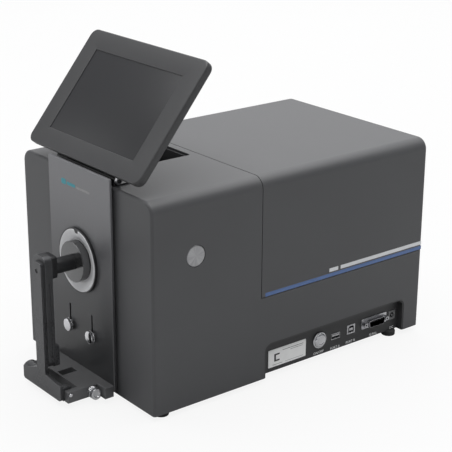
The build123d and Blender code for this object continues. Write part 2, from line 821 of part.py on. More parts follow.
with BuildPart() as usb_a_port:
    with BuildSketch(side(bay_floor_x - plug_depth)):
        with Locations((usb_a_y, usb_a_z)):
            Rectangle(usb_a_w, usb_a_h)
    extrude(amount=plug_depth + flange_out)
    with BuildSketch(side(bay_floor_x + flange_out)):
        with Locations((usb_a_y, usb_a_z)):
            Rectangle(12.5, 5.1)
            with Locations((0, 1.0)):
                Rectangle(11.1, 1.9, mode=Mode.SUBTRACT)
    extrude(amount=-mouth_depth, mode=Mode.SUBTRACT)
save(usb_a_port, "usb_a_port")

with BuildPart() as usb_b_port:
    with BuildSketch(side(bay_floor_x - plug_depth)):
        with Locations((usb_b_y, usb_b_z)):
            Rectangle(usb_b_w, usb_b_h)
    extrude(amount=plug_depth + flange_out)
    with BuildSketch(side(bay_floor_x + flange_out)) as usb_b_mouth:
        with Locations((usb_b_y, usb_b_z)):
            Rectangle(8.5, 7.8)
        chamfer(usb_b_mouth.vertices().group_by(Axis.Y)[-1], 1.6)
        with Locations((usb_b_y, usb_b_z)):
            Rectangle(5.6, 3.2, mode=Mode.SUBTRACT)
    extrude(amount=-mouth_depth, mode=Mode.SUBTRACT)
save(usb_b_port, "usb_b_port")


def d_outline(width, height):
    """D-shaped connector outline, wider at its upper edge."""
    with BuildSketch() as outline:
        with Locations((serial_y, serial_z)):
            Trapezoid(width, height, 80, rotation=180)
        fillet(outline.vertices(), 1.6)
    return outline.sketch


shell_outer = d_outline(25.2, 8.4)
shell_inner = d_outline(24.0, 7.2)

with BuildPart() as serial_shell:
    with BuildSketch(side(bay_floor_x)):
        with Locations((serial_y, serial_z)):
            RectangleRounded(serial_w, serial_h, 1.5)
    extrude(amount=plate_t)
    with BuildSketch(side(bay_floor_x - bay_floor_t)):
        add(shell_outer)
    extrude(amount=bay_floor_t + shell_out)
    with BuildSketch(side(bay_floor_x - bay_floor_t)):
        add(shell_inner)
        with Locations((serial_y - serial_pitch / 2, serial_z), (serial_y + serial_pitch / 2, serial_z)):
            Circle(jackscrew_r)
    extrude(amount=bay_floor_t + shell_out, mode=Mode.SUBTRACT)
save(serial_shell, "serial_shell")

pin_pitch, row_gap = 2.77, 2.84
with BuildPart() as serial_insert:
    with BuildSketch(side(bay_floor_x - bay_floor_t)):
        add(shell_inner)
    extrude(amount=bay_floor_t + 1.2)
    with BuildSketch(side(bay_floor_x - plug_depth)):
        with Locations((serial_y, serial_z)):
            Rectangle(30, 9)
    extrude(amount=plug_depth - bay_floor_t)
    with BuildSketch(side(bay_floor_x + 1.2)):
        with Locations((serial_y, serial_z + row_gap / 2)):
            with GridLocations(pin_pitch, 1, 8, 1):
                Circle(0.5)
        with Locations((serial_y, serial_z - row_gap / 2)):
            with GridLocations(pin_pitch, 1, 7, 1):
                Circle(0.5)
    extrude(amount=3.8)
save(serial_insert, "serial_insert")

jackscrew_hole_r = 1.25
with BuildPart() as jackscrews:
    with BuildSketch(side(bay_floor_x - bay_floor_t - 3)):
        with Locations((serial_y - serial_pitch / 2, serial_z), (serial_y + serial_pitch / 2, serial_z)):
            Circle(jackscrew_r)
    extrude(amount=bay_floor_t + 3.8)
    with BuildSketch(side(bay_floor_x + plate_t)):
        with Locations((serial_y - serial_pitch / 2, serial_z), (serial_y + serial_pitch / 2, serial_z)):
            RegularPolygon(2.7, 6)
    extrude(amount=4.7)
    with BuildSketch(side(bay_floor_x + 5.5)):
        with Locations((serial_y - serial_pitch / 2, serial_z), (serial_y + serial_pitch / 2, serial_z)):
            Circle(jackscrew_hole_r)
    extrude(amount=-6, mode=Mode.SUBTRACT)
save(jackscrews, "jackscrews")

with BuildPart() as dc_jack:
    with BuildSketch(side(bay_floor_x - plug_depth)):
        with Locations((jack_y, jack_z)):
            Rectangle(jack_w, jack_h)
    extrude(amount=plug_depth + plate_t)
    with BuildSketch(side(bay_floor_x + plate_t)):
        with Locations((jack_y, jack_z)):
            Circle(3.2)
            Circle(1.05, mode=Mode.SUBTRACT)
    extrude(amount=-mouth_depth, mode=Mode.SUBTRACT)
save(dc_jack, "dc_jack")

barrel_l = 18.0
button_ring_r, button_ring_out = 9.65, 2.4
cap_in, cap_out = 8.0, 4.2
with BuildPart() as button_barrel:
    with BuildSketch(side(bay_floor_x - barrel_l)):
        with Locations((button_y, button_z)):
            Circle(button_r + button_wall)
    extrude(amount=barrel_l)
    with BuildSketch(side(bay_floor_x)):
        with Locations((button_y, button_z)):
            Circle(button_ring_r)
    extrude(amount=button_ring_out)
    chamfer(button_barrel.faces().sort_by(Axis.X)[-1].edges(), 0.7)
    with BuildSketch(side(bay_floor_x - barrel_l + 2)):
        with Locations((button_y, button_z)):
            Circle(button_r + running)
    extrude(amount=barrel_l + 2, mode=Mode.SUBTRACT)
save(button_barrel, "button_barrel")

with BuildPart() as button_cap:
    with BuildSketch(side(bay_floor_x - cap_in)):
        with Locations((button_y, button_z)):
            Circle(button_r)
    extrude(amount=cap_in + cap_out)
    fillet(button_cap.faces().sort_by(Axis.X)[-1].edges(), 1.2)
save(button_cap, "button_cap")

# ================================================================ sample stage
stage_y = face_y - panel_front
swing_r = hypot(reach - pivot_out, pivot_h - foot_low)  # furthest corner of the arm's foot
swing_side = 0.5
ear_in = foot_w / 2 - ear_w
lock_x = axis_x + stage_w / 2
lock_y, lock_z = face_y - 23.0, base_z + 5.5
lock_r = 6.3
lock_stem_r = 2.0
lock_hole_l = 12.0
stage_edge = 0.6

with BuildPart() as sample_stage:
    with BuildSketch(level(base_z)):
        with Locations((0, stage_y)):
            Rectangle(ledge_w, ledge_out - panel_front, align=(Align.CENTER, Align.MAX))
        with Locations((axis_x, face_y - ledge_out)):
            Rectangle(stage_w, stage_out - ledge_out, align=(Align.CENTER, Align.MAX))
    extrude(amount=stage_h)
    upper = sample_stage.edges().group_by(Axis.Z)[-1]
    chamfer(upper.filter_by_position(Axis.Y, face_y - stage_out, face_y - panel_front - 1), stage_edge)
    # slot for sample jigs, and the open recess in which the arm's foot turns
    with BuildSketch(level(base_z)):
        with Locations((axis_x, face_y - ledge_out)):
            Rectangle(stage_slot_w, stage_slot_l, align=(Align.CENTER, Align.MAX))
        with Locations((axis_x, pivot_y + swing_r + swing_gap)):
            Rectangle(foot_w + 2 * swing_side, stage_out, align=(Align.CENTER, Align.MAX))
    extrude(amount=stage_h, mode=Mode.SUBTRACT)
    with BuildSketch(side(axis_x - stage_w)):
        with Locations((pivot_y, pivot_z)):
            Circle(pivot_r)
    extrude(amount=2 * stage_w, mode=Mode.SUBTRACT)
    with BuildSketch(side(lock_x)):
        with Locations((lock_y, lock_z)):
            Circle(lock_stem_r + running)
    extrude(amount=-lock_hole_l, mode=Mode.SUBTRACT)
save(sample_stage, "sample_stage")

# pin with a thicker middle between the arm's barrel and its ear
pin_proud = 1.5
pin_middle_r = 4.0
middle_start = axis_x - foot_w / 2 + foot_barrel_w + fit
middle_end = axis_x + ear_in - fit
with BuildPart() as pivot_pin:
    with BuildSketch(side(axis_x - stage_w / 2 - pin_proud)):
        with Locations((pivot_y, pivot_z)):
            Circle(pivot_r)
    extrude(amount=stage_w + 2 * pin_proud)
    chamfer(pivot_pin.edges().filter_by(GeomType.CIRCLE), 0.4)
    with BuildSketch(side(middle_start)):
        with Locations((pivot_y, pivot_z)):
            Circle(pin_middle_r)
    extrude(amount=middle_end - middle_start)
save(pivot_pin, "pivot_pin")

lock_gap, lock_disc_t, lock_waist, lock_waist_t, lock_grip_t = 0.4, 4.0, 1.6, 1.4, 3.4
grip_x = lock_x + lock_gap + lock_disc_t + lock_waist_t
with BuildPart() as stage_lock:
    with BuildSketch(side(lock_x - lock_hole_l + 1)):
        with Locations((lock_y, lock_z)):
            Circle(lock_stem_r)
    extrude(amount=lock_hole_l - 1 + lock_gap)
    with BuildSketch(side(lock_x + lock_gap)):
        with Locations((lock_y, lock_z)):
            Circle(lock_r)
    extrude(amount=lock_disc_t)
    with BuildSketch(side(lock_x + lock_gap + lock_disc_t)):
        with Locations((lock_y, lock_z)):
            Circle(lock_r - lock_waist)
    extrude(amount=lock_waist_t)
    with BuildSketch(side(grip_x)):
        with Locations((lock_y, lock_z)):
            Circle(lock_r)
            with PolarLocations(lock_r, 12):
                Circle(0.7, mode=Mode.SUBTRACT)
    extrude(amount=lock_grip_t)
save(stage_lock, "stage_lock")


washer_t, head_t = 1.2, 4.3
nut_back = 0.6          # nut's back ahead of the body's face
nut_gap = 0.1


def sample_rest(x):
    """Thumbscrew that carries the sample's lower edge; its nut runs behind the panel."""
    with BuildPart() as rest:
        with BuildSketch(front(panel_front)):
            with Locations((x, base_z + rest_h)):
                Circle(rest_head_r - washer_t)
        extrude(amount=washer_t)
        with BuildSketch(front(panel_front + washer_t)):
            with Locations((x, base_z + rest_h)):
                Circle(rest_head_r)
                with PolarLocations(rest_head_r, 16):
                    Circle(0.55, mode=Mode.SUBTRACT)
        extrude(amount=head_t)
        with BuildSketch(front(nut_back)):
            with Locations((x, base_z + rest_h)):
                Circle(rest_slot_w / 2 - running)
        extrude(amount=panel_front - nut_back)
        with BuildSketch(front(nut_back)):
            with Locations((x, base_z + rest_h)):
                Rectangle(nut_w, nut_w)
        extrude(amount=panel_front - panel_t - nut_gap - nut_back)
    return rest


rest_left = sample_rest(rest_spots[0])
save(rest_left, "rest_left")
rest_right = sample_rest(rest_spots[1])
save(rest_right, "rest_right")

# ================================================================ clamp arm
plate_out = reach - foot_plate_t        # back of the arm's front plate
spine_out = 45.0                        # back of the spine
head_out = 38.0                         # back of the head
stem_r = 2.0

left_shoulder, right_shoulder = 13.0, 18.0      # ends of the foot's upper edge, above the underside
left_root, right_root = 24.0, 21.0              # where that edge meets the bar
foot_left, foot_right = axis_x - foot_w / 2, axis_x + foot_w / 2
bar_left, bar_right = axis_x - bar_w / 2, axis_x + bar_w / 2
tip_h = 10.0            # plate's rounded end above the optical axis
tip_r = 5.0
stem_gap = 0.6
with BuildPart() as arm_plate:
    with BuildSketch(front(plate_out)) as foot_outline:
        with BuildLine():
            Polyline(
                (foot_left, base_z + foot_low),
                (foot_right, base_z + foot_low),
                (foot_right, base_z + right_shoulder),
                (bar_right, base_z + right_root),
                (bar_right, port_z + tip_h),
                (bar_left, port_z + tip_h),
                (bar_left, base_z + left_root),
                (foot_left, base_z + left_shoulder),
                close=True,
            )
        make_face()
        fillet(foot_outline.vertices().group_by(Axis.Y)[-1], tip_r)
        fillet(foot_outline.vertices().group_by(Axis.Y)[0], foot_corner_r)
        fillet(foot_outline.vertices().group_by(Axis.X)[0].sort_by(Axis.Y)[-1], foot_corner_r)
    extrude(amount=foot_plate_t)
    # barrel at the left and ear at the right, both about the pivot
    for start, width, radius in [(foot_left, foot_barrel_w, barrel_r), (foot_right - ear_w, ear_w, ear_r)]:
        with BuildSketch(side(start)):
            with Locations((pivot_y, pivot_z)):
                Circle(radius)
            with Locations((face_y - plate_out, base_z + foot_low)):
                Rectangle(plate_out - pivot_out, pivot_h - foot_low, align=(Align.MIN, Align.MIN))
            with Locations((pivot_y, pivot_z)):
                Circle(pivot_r + running, mode=Mode.SUBTRACT)
        extrude(amount=width)
    with BuildSketch(front(reach)):
        with Locations((0, base_z)):
            Rectangle(body_w, 2 * port_h)
    extrude(amount=barrel_r, mode=Mode.SUBTRACT)
    with BuildSketch(front(plate_out - 1)):
        with Locations((axis_x, port_z)):
            Circle(stem_r + stem_gap)
    extrude(amount=foot_plate_t + 2, mode=Mode.SUBTRACT)
save(arm_plate, "arm_plate")

with BuildPart() as arm_spine:
    with BuildSketch(front(spine_out)):
        with Locations((axis_x, base_z + (spine_low + port_h + spine_above) / 2)):
            RectangleRounded(spine_w, port_h + spine_above - spine_low, spine_r)
    extrude(amount=plate_out - spine_out)
    with BuildSketch(front(spine_out - 5)):
        with Locations((axis_x, base_z + spine_low + 12)):
            RectangleRounded(spine_w - 2, 24, 3)
    extrude(amount=6)
    # long grooves along both sides
    for hand in (1, -1):
        with BuildSketch(side(axis_x + hand * spine_w / 2)):
            with Locations(((face_y - spine_out + face_y - plate_out) / 2, base_z + 80)):
                SlotOverall(84, 2.4, rotation=90)
        extrude(amount=-hand * 1.2, mode=Mode.SUBTRACT)
    with BuildSketch(front(spine_out - 1)):
        with Locations((axis_x, port_z)):
            Circle(rod_r + running)
    extrude(amount=plate_out - spine_out - 1, mode=Mode.SUBTRACT)
    with BuildSketch(front(spine_out - 1)):
        with Locations((axis_x, port_z)):
            Circle(stem_r + stem_gap)
    extrude(amount=30, mode=Mode.SUBTRACT)
save(arm_spine, "arm_spine")

with BuildPart() as arm_head:
    with BuildSketch(front(head_out)):
        with Locations((axis_x, port_z + (head_above - head_below) / 2)):
            RectangleRounded(head_w, head_above + head_below, head_r)
        with Locations((axis_x, port_z)):
            Circle(rod_r + running, mode=Mode.SUBTRACT)
    extrude(amount=spine_out - head_out)
save(arm_head, "arm_head")

rod_end = plate_out - 1.6 - rod_travel - 1.0   # rod's tail, ahead of the body's face
pad_back = aperture_out + 0.3
pad_front = pad_back + pad_t
with BuildPart() as press_rod:
    with BuildSketch(front(pad_front)):
        with Locations((axis_x, port_z)):
            Circle(rod_r)
    extrude(amount=rod_end - pad_front)
    with BuildSketch(front(rod_end)):
        with Locations((axis_x, port_z)):
            Circle(stem_r)
    extrude(amount=reach - 0.6 - rod_end)
save(press_rod, "press_rod")

cushion_t = 1.5
with BuildPart() as press_pad:
    with BuildSketch(front(pad_back + cushion_t)):
        with Locations((axis_x, port_z)):
            Circle(pad_r)
    extrude(amount=pad_t - cushion_t)
    chamfer(press_pad.faces().sort_by(Axis.Y)[0].edges(), 0.6)
save(press_pad, "press_pad")

with BuildPart() as pad_cushion:
    with BuildSketch(front(pad_back)):
        with Locations((axis_x, port_z)):
            Circle(pad_r - 0.5)
    extrude(amount=cushion_t)
save(pad_cushion, "pad_cushion")

# ================================================================ tilting display
tilt = radians(display_tilt)
screen_plane = Plane(
    origin=(0, face_y + display_y, base_z + display_z),
    x_dir=(1, 0, 0),
    z_dir=(0, -cos(tilt), sin(tilt)),
)
outward = Axis((0, 0, 0), screen_plane.z_dir)
hinge_axis_y = face_y + hinge_y
hinge_axis_z = base_z + hinge_z
bezel_t = 2.4
glass_t = 1.2
glass_sunk = 0.7
panel_depth = 5.4       # front of the display to the back of the panel
shell_wall = 2.0
bulge_t = 5.5
bulge_low = 26.0
bulge_w = 150.0
bulge_h = 96.0


def screen_layer(depth):
    """Plane parallel to the screen, behind the bezel's front by depth."""
    return screen_plane.offset(-depth)


with BuildPart() as display_back:
    with BuildSketch(screen_layer(display_t)):
        with Locations((0, display_h / 2)):
            RectangleRounded(display_w, display_h, display_r)
    extrude(amount=display_t - bezel_t)
    back_face = display_back.faces().sort_by(outward)[0]
    fillet(back_face.edges(), 3.5)
    with BuildSketch(screen_layer(display_t + bulge_t)):
        with Locations((0, bulge_low + bulge_h / 2)):
            RectangleRounded(bulge_w, bulge_h, 10)
    extrude(amount=bulge_t + 0.5)
    with BuildSketch(screen_layer(display_t - shell_wall)):
        with Locations((0, display_h / 2)):
            RectangleRounded(display_w - 2 * shell_wall, display_h - 2 * shell_wall, display_r - shell_wall)
    extrude(amount=display_t, mode=Mode.SUBTRACT)
save(display_back, "display_back")

with BuildPart() as display_bezel:
    with BuildSketch(screen_layer(bezel_t)):
        with Locations((0, display_h / 2)):
            RectangleRounded(display_w, display_h, display_r)
    extrude(amount=bezel_t)
    fillet(display_bezel.faces().sort_by(outward)[-1].edges(), 1.5)
    with BuildSketch(screen_layer(bezel_t)):
        with Locations((0, screen_low + screen_h / 2)):
            Rectangle(screen_w, screen_h)
    extrude(amount=bezel_t, mode=Mode.SUBTRACT)
save(display_bezel, "display_bezel")

with BuildPart() as screen_glass:
    with BuildSketch(screen_layer(glass_sunk + glass_t)):
        with Locations((0, screen_low + screen_h / 2)):
            Rectangle(screen_w, screen_h)
    extrude(amount=glass_t)
save(screen_glass, "screen_glass")

with BuildPart() as lcd_panel:
    with BuildSketch(screen_layer(panel_depth)):
        with Locations((0, screen_low + screen_h / 2)):
            Rectangle(screen_w + 10, screen_h + 8)
    extrude(amount=panel_depth - bezel_t)
save(lcd_panel, "lcd_panel")

with BuildPart() as display_bumpers:
    with BuildSketch(screen_layer(display_t + 3.9)):
        with Locations((-88, display_h - 12), (88, display_h - 12)):
            Circle(4)
    extrude(amount=3.9)
save(display_bumpers, "display_bumpers")

# hinge: fixed barrels on the roof, moving knuckles on the display's back
leaf_x = 40.0
leaf_w = 11.4
side_gap = 0.3          # between fixed and moving knuckles
middle_end_x = leaf_x - leaf_w / 2 - side_gap
outer_start = leaf_x + leaf_w / 2 + side_gap
outer_end = outer_start + 7.0
barrel_spans = [(-outer_end, -outer_start), (-middle_end_x, middle_end_x), (outer_start, outer_end)]
hinge_plate_t, hinge_plate_l = 1.6, 18.0
knuckle_r = hinge_r - 0.2
with BuildPart() as hinge_base:
    with BuildSketch(level(roof_z)):
        with Locations((0, face_y + hinge_y + hinge_plate_l / 3)):
            Rectangle(2 * outer_end, hinge_plate_l)
    extrude(amount=hinge_plate_t)
    for start, end in barrel_spans:
        with BuildSketch(side(start)):
            with Locations((hinge_axis_y, hinge_axis_z)):
                Circle(knuckle_r)
            with Locations((hinge_axis_y, roof_z)):
                Rectangle(2 * knuckle_r, hinge_axis_z - roof_z, align=(Align.CENTER, Align.MIN))
            with Locations((hinge_axis_y, hinge_axis_z)):
                Circle(hinge_pin_r, mode=Mode.SUBTRACT)
        extrude(amount=end - start)
save(hinge_base, "hinge_base")

leaf_plane = Plane(origin=(0, hinge_axis_y, hinge_axis_z), x_dir=(1, 0, 0), z_dir=screen_plane.z_dir)
gap_y = display_y - hinge_y
gap_z = display_z - hinge_z
leaf_rise = gap_y * -cos(tilt) + gap_z * sin(tilt) - display_t      # axis to the display's back
leaf_t = 1.8
leaf_l = 24.0
with BuildPart() as display_leaves:
    for hand in (1, -1):
        with BuildSketch(side(hand * leaf_x - leaf_w / 2)):
            with Locations((hinge_axis_y, hinge_axis_z)):
                Circle(knuckle_r)
        extrude(amount=leaf_w)
    with BuildSketch(leaf_plane.offset(leaf_rise - leaf_t)):
        with Locations((-leaf_x, 0), (leaf_x, 0)):
            Rectangle(leaf_w, leaf_l, align=(Align.CENTER, Align.MIN))
    extrude(amount=leaf_t)
    with BuildSketch(leaf_plane):
        with Locations((-leaf_x, 0), (leaf_x, 0)):
            Rectangle(leaf_w, 0.9 * hinge_r, align=(Align.CENTER, Align.MIN))
    extrude(amount=leaf_rise)
    with BuildSketch(side(-outer_end)):
        with Locations((hinge_axis_y, hinge_axis_z)):
            Circle(hinge_pin_r + running)
    extrude(amount=2 * outer_end, mode=Mode.SUBTRACT)
save(display_leaves, "display_leaves")

nut_t = 3.6
pin_head_t = 2.4
with BuildPart() as hinge_pin:
    with BuildSketch(side(-outer_end)):
        with Locations((hinge_axis_y, hinge_axis_z)):
            Circle(hinge_pin_r)
    extrude(amount=2 * outer_end + nut_t + 1)
    with BuildSketch(side(-outer_end)):
        with Locations((hinge_axis_y, hinge_axis_z)):
            Circle(knuckle_r - 0.4)
    extrude(amount=-pin_head_t)
save(hinge_pin, "hinge_pin")

with BuildPart() as hinge_nut:
    with BuildSketch(side(outer_end)):
        with Locations((hinge_axis_y, hinge_axis_z)):
            RegularPolygon(knuckle_r, 6)
            Circle(hinge_pin_r, mode=Mode.SUBTRACT)
    extrude(amount=nut_t)
save(hinge_nut, "hinge_nut")

print("overall depth", body_d + reach, "front", face_y - reach, "rear", rear_y)
print("hinge axis", hinge_axis_y, hinge_axis_z, "pivot", pivot_y, pivot_z)
print("port axis", axis_x, port_z, "face", face_y)
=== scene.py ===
import json
import math

import bmesh
import bpy
import numpy as np
from mathutils import Matrix, Vector

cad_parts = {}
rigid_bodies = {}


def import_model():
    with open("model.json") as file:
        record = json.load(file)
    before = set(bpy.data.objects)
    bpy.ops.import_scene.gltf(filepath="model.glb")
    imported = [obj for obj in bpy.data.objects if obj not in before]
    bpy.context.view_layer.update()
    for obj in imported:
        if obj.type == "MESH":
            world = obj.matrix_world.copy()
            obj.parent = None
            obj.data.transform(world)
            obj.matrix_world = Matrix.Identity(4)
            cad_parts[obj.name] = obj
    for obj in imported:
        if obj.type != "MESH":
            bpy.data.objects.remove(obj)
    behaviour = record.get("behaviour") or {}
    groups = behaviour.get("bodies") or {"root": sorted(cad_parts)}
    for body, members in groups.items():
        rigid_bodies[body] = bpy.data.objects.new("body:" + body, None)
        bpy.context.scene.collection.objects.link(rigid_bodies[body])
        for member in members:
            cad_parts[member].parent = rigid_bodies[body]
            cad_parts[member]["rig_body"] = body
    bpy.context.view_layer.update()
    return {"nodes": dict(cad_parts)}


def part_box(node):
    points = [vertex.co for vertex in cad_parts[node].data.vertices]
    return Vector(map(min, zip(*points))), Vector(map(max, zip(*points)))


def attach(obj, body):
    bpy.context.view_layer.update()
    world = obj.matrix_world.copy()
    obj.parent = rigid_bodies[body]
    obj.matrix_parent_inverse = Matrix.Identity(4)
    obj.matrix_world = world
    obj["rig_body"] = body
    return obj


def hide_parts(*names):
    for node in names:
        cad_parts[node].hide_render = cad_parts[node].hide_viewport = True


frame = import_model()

mm = 0.001

# ---- camera, floor and lights

camera = {
    "azimuth": 51.544,
    "elevation": 19.715,
    "roll": 0.329,
    "distance": 1.48198,
    "target": (-0.00349, 0.02816, 0.13481),
    "lens": 104.87,
}


def makeCamera(spec):
    # the camera stands back from the target along the viewing direction, then rolls about it
    azimuth, elevation, roll = (math.radians(spec[k]) for k in ("azimuth", "elevation", "roll"))
    back = Vector((math.sin(azimuth) * math.cos(elevation),
                   -math.cos(azimuth) * math.cos(elevation),
                   math.sin(elevation)))
    right = (-back).cross(Vector((0, 0, 1))).normalized()
    up = right.cross(-back)
    rolledRight = math.cos(roll) * right + math.sin(roll) * up
    rolledUp = -math.sin(roll) * right + math.cos(roll) * up
    data = bpy.data.cameras.new("camera")
    data.lens = spec["lens"]
    data.sensor_width = 36.0
    data.clip_start, data.clip_end = 0.01, 60.0
    made = bpy.data.objects.new("camera", data)
    bpy.context.scene.collection.objects.link(made)
    made.matrix_world = Matrix.Translation(Vector(spec["target"]) + spec["distance"] * back) @ Matrix(
        (rolledRight, rolledUp, back)).transposed().to_4x4()
    bpy.context.scene.camera = made


makeCamera(camera)

studio = {
    "worldColour": (0.93, 0.96, 1.0),
    "worldStrength": 0.25,
    "floorColour": (0.52, 0.52, 0.52),
    "floorGlow": 0.88,
    "floorSize": 30.0,
    # name: (place, aim, size across, size up, watts, colour)
    "lights": {
        "topBox": ((-0.4, 0.5, 3.0), (-0.4, 0.5, 0.0), 4.8, 5.0, 235.0, (1.0, 1.0, 1.0)),
        "leftCard": ((-1.6, -1.5, 0.6), (0.0, -0.15, 0.15), 1.1, 1.2, 4.5, (1.0, 1.0, 1.0)),
        "rightFill": ((2.3, -0.6, 1.2), (0.0, 0.0, 0.15), 1.6, 1.2, 2.0, (1.0, 0.99, 0.98)),
        "backCard": ((-1.9, 1.5, 1.0), (0.0, -0.1, 0.15), 2.4, 1.4, 9.0, (1.0, 1.0, 1.0)),
    },
}


def makeStudio(spec):
    world = bpy.data.worlds.new("studioWorld")
    world.use_nodes = True
    tree = world.node_tree
    background, output = tree.nodes["Background"], tree.nodes["World Output"]
    background.inputs["Color"].default_value = (*spec["worldColour"], 1)
    background.inputs["Strength"].default_value = spec["worldStrength"]
    # a white backdrop where it is seen directly, the soft grey everywhere else
    backdrop = tree.nodes.new("ShaderNodeBackground")
    seen = tree.nodes.new("ShaderNodeLightPath")
    mixed = tree.nodes.new("ShaderNodeMixShader")
    backdrop.inputs["Color"].default_value = (1, 1, 1, 1)
    tree.links.new(seen.outputs["Is Camera Ray"], mixed.inputs[0])
    tree.links.new(background.outputs[0], mixed.inputs[1])
    tree.links.new(backdrop.outputs[0], mixed.inputs[2])
    tree.links.new(mixed.outputs[0], output.inputs["Surface"])
    bpy.context.scene.world = world
    for name, (place, aim, across, up, watts, colour) in spec["lights"].items():
        data = bpy.data.lights.new(name, "AREA")
        data.shape = "RECTANGLE"
        data.size, data.size_y, data.energy, data.color = across, up, watts, colour
        light = bpy.data.objects.new(name, data)
        bpy.context.scene.collection.objects.link(light)
        light.location = place
        light.rotation_euler = (Vector(aim) - Vector(place)).to_track_quat("-Z", "Y").to_euler()
    bpy.context.scene.view_settings.view_transform = "Standard"


makeStudio(studio)

# ---- node groups: each gives only colours, masks, values and heights


def newGroup(name, inputs, outputs):
    tree = bpy.data.node_groups.new(name, "ShaderNodeTree")
    for label, kind, value in inputs:
        tree.interface.new_socket(label, in_out="INPUT", socket_type=kind).default_value = value
    for label, kind in outputs:
        tree.interface.new_socket(label, in_out="OUTPUT", socket_type=kind)
    start, end = tree.nodes.new("NodeGroupInput"), tree.nodes.new("NodeGroupOutput")
    return tree, start.outputs, end.inputs


def calc(tree, operation, a, b=None, clamp=False):
    # one Math node; a and b are sockets or numbers
    made = tree.nodes.new("ShaderNodeMath")
    made.operation, made.use_clamp = operation, clamp
    for slotIndex, value in enumerate((a, b)):
        if value is None:
            continue
        if isinstance(value, (int, float)):
            made.inputs[slotIndex].default_value = value
        else:
            tree.links.new(value, made.inputs[slotIndex])
    return made.outputs[0]


def vectorCalc(tree, operation, a, b=None):
    made = tree.nodes.new("ShaderNodeVectorMath")
    made.operation = operation
    for slotIndex, value in enumerate((a, b)):
        if value is None:
            continue
        if isinstance(value, (tuple, list)):
            made.inputs[slotIndex].default_value = value
        else:
            tree.links.new(value, made.inputs[slotIndex])
    return made


def mixColours(tree, factor, a, b):
    made = tree.nodes.new("ShaderNodeMix")
    made.data_type = "RGBA"
    for socket, value in ((made.inputs["Factor"], factor), (made.inputs[6], a), (made.inputs[7], b)):
        if isinstance(value, (int, float)):
            socket.default_value = value
        elif isinstance(value, (tuple, list)):
            socket.default_value = (*value, 1)
        else:
            tree.links.new(value, socket)
    return made.outputs[2]


def noise(tree, vector, scale, detail=3.0, roughness=0.55):
    made = tree.nodes.new("ShaderNodeTexNoise")
    tree.links.new(vector, made.inputs["Vector"])
    for key, value in (("Scale", scale), ("Detail", detail), ("Roughness", roughness)):
        if isinstance(value, (int, float)):
            made.inputs[key].default_value = value
        else:
            tree.links.new(value, made.inputs[key])
    return made.outputs["Fac"]


def grainGroup():
    # two colours mottled by a coarse noise, with a fine stretched grain for roughness and height
    tree, given, out = newGroup(
        "surfaceGrain",
        [("Colour", "NodeSocketColor", (0.1, 0.1, 0.1, 1)),
         ("Second colour", "NodeSocketColor", (0.1, 0.1, 0.1, 1)),
         ("Mottle scale", "NodeSocketFloat", 20.0), ("Grain scale", "NodeSocketFloat", 1800.0),
         ("Stretch", "NodeSocketVector", (1, 1, 1)), ("Grain in colour", "NodeSocketFloat", 0.1),
         ("Roughness", "NodeSocketFloat", 0.5), ("Roughness spread", "NodeSocketFloat", 0.1)],
        [("Colour", "NodeSocketColor"), ("Roughness", "NodeSocketFloat"), ("Height", "NodeSocketFloat")])
    place = tree.nodes.new("ShaderNodeTexCoord").outputs["Object"]
    stretched = vectorCalc(tree, "MULTIPLY", place, given["Stretch"]).outputs[0]
    mottle = noise(tree, place, given["Mottle scale"], 4.0)
    grain = noise(tree, stretched, given["Grain scale"], 2.0, 0.6)
    mottleSharp = calc(tree, "MULTIPLY_ADD", calc(tree, "SUBTRACT", mottle, 0.5), 2.2)
    tree.nodes[-1].inputs[2].default_value = 0.5
    grainPart = calc(tree, "MULTIPLY", calc(tree, "SUBTRACT", grain, 0.5), given["Grain in colour"])
    factor = calc(tree, "ADD", mottleSharp, grainPart, clamp=True)
    tree.links.new(mixColours(tree, factor, given["Colour"], given["Second colour"]), out["Colour"])
    both = calc(tree, "ADD", calc(tree, "SUBTRACT", grain, 0.5), calc(tree, "SUBTRACT", mottle, 0.5))
    spread = calc(tree, "MULTIPLY", both, given["Roughness spread"])
    tree.links.new(calc(tree, "ADD", given["Roughness"], spread, clamp=True), out["Roughness"])
    tree.links.new(grain, out["Height"])
    return tree


def edgeGroup():
    # how far a rounded-off normal leans from the true one, broken up by noise: worn along edges only, and
    # where the edge colour is lighter also a painted highlight on the edges
    tree, given, out = newGroup(
        "edgeWearAndHighlight",
        [("Width", "NodeSocketFloat", 0.0008), ("Amount", "NodeSocketFloat", 0.5),
         ("Break up", "NodeSocketFloat", 160.0)],
        [("Mask", "NodeSocketFloat")])
    place = tree.nodes.new("ShaderNodeTexCoord").outputs["Object"]
    rounded = tree.nodes.new("ShaderNodeBevel")
    rounded.samples = 4
    tree.links.new(given["Width"], rounded.inputs["Radius"])
    flat = tree.nodes.new("ShaderNodeNewGeometry").outputs["Normal"]
    alike = vectorCalc(tree, "DOT_PRODUCT", rounded.outputs[0], flat).outputs["Value"]
    lean = calc(tree, "SUBTRACT", 1.0, alike)
    patchy = calc(tree, "ADD", noise(tree, place, given["Break up"], 4.0), 0.15)
    mask = calc(tree, "MULTIPLY", calc(tree, "MULTIPLY", lean, 5.0, clamp=True), patchy)
    tree.links.new(calc(tree, "MULTIPLY", mask, given["Amount"], clamp=True), out["Mask"])
    return tree


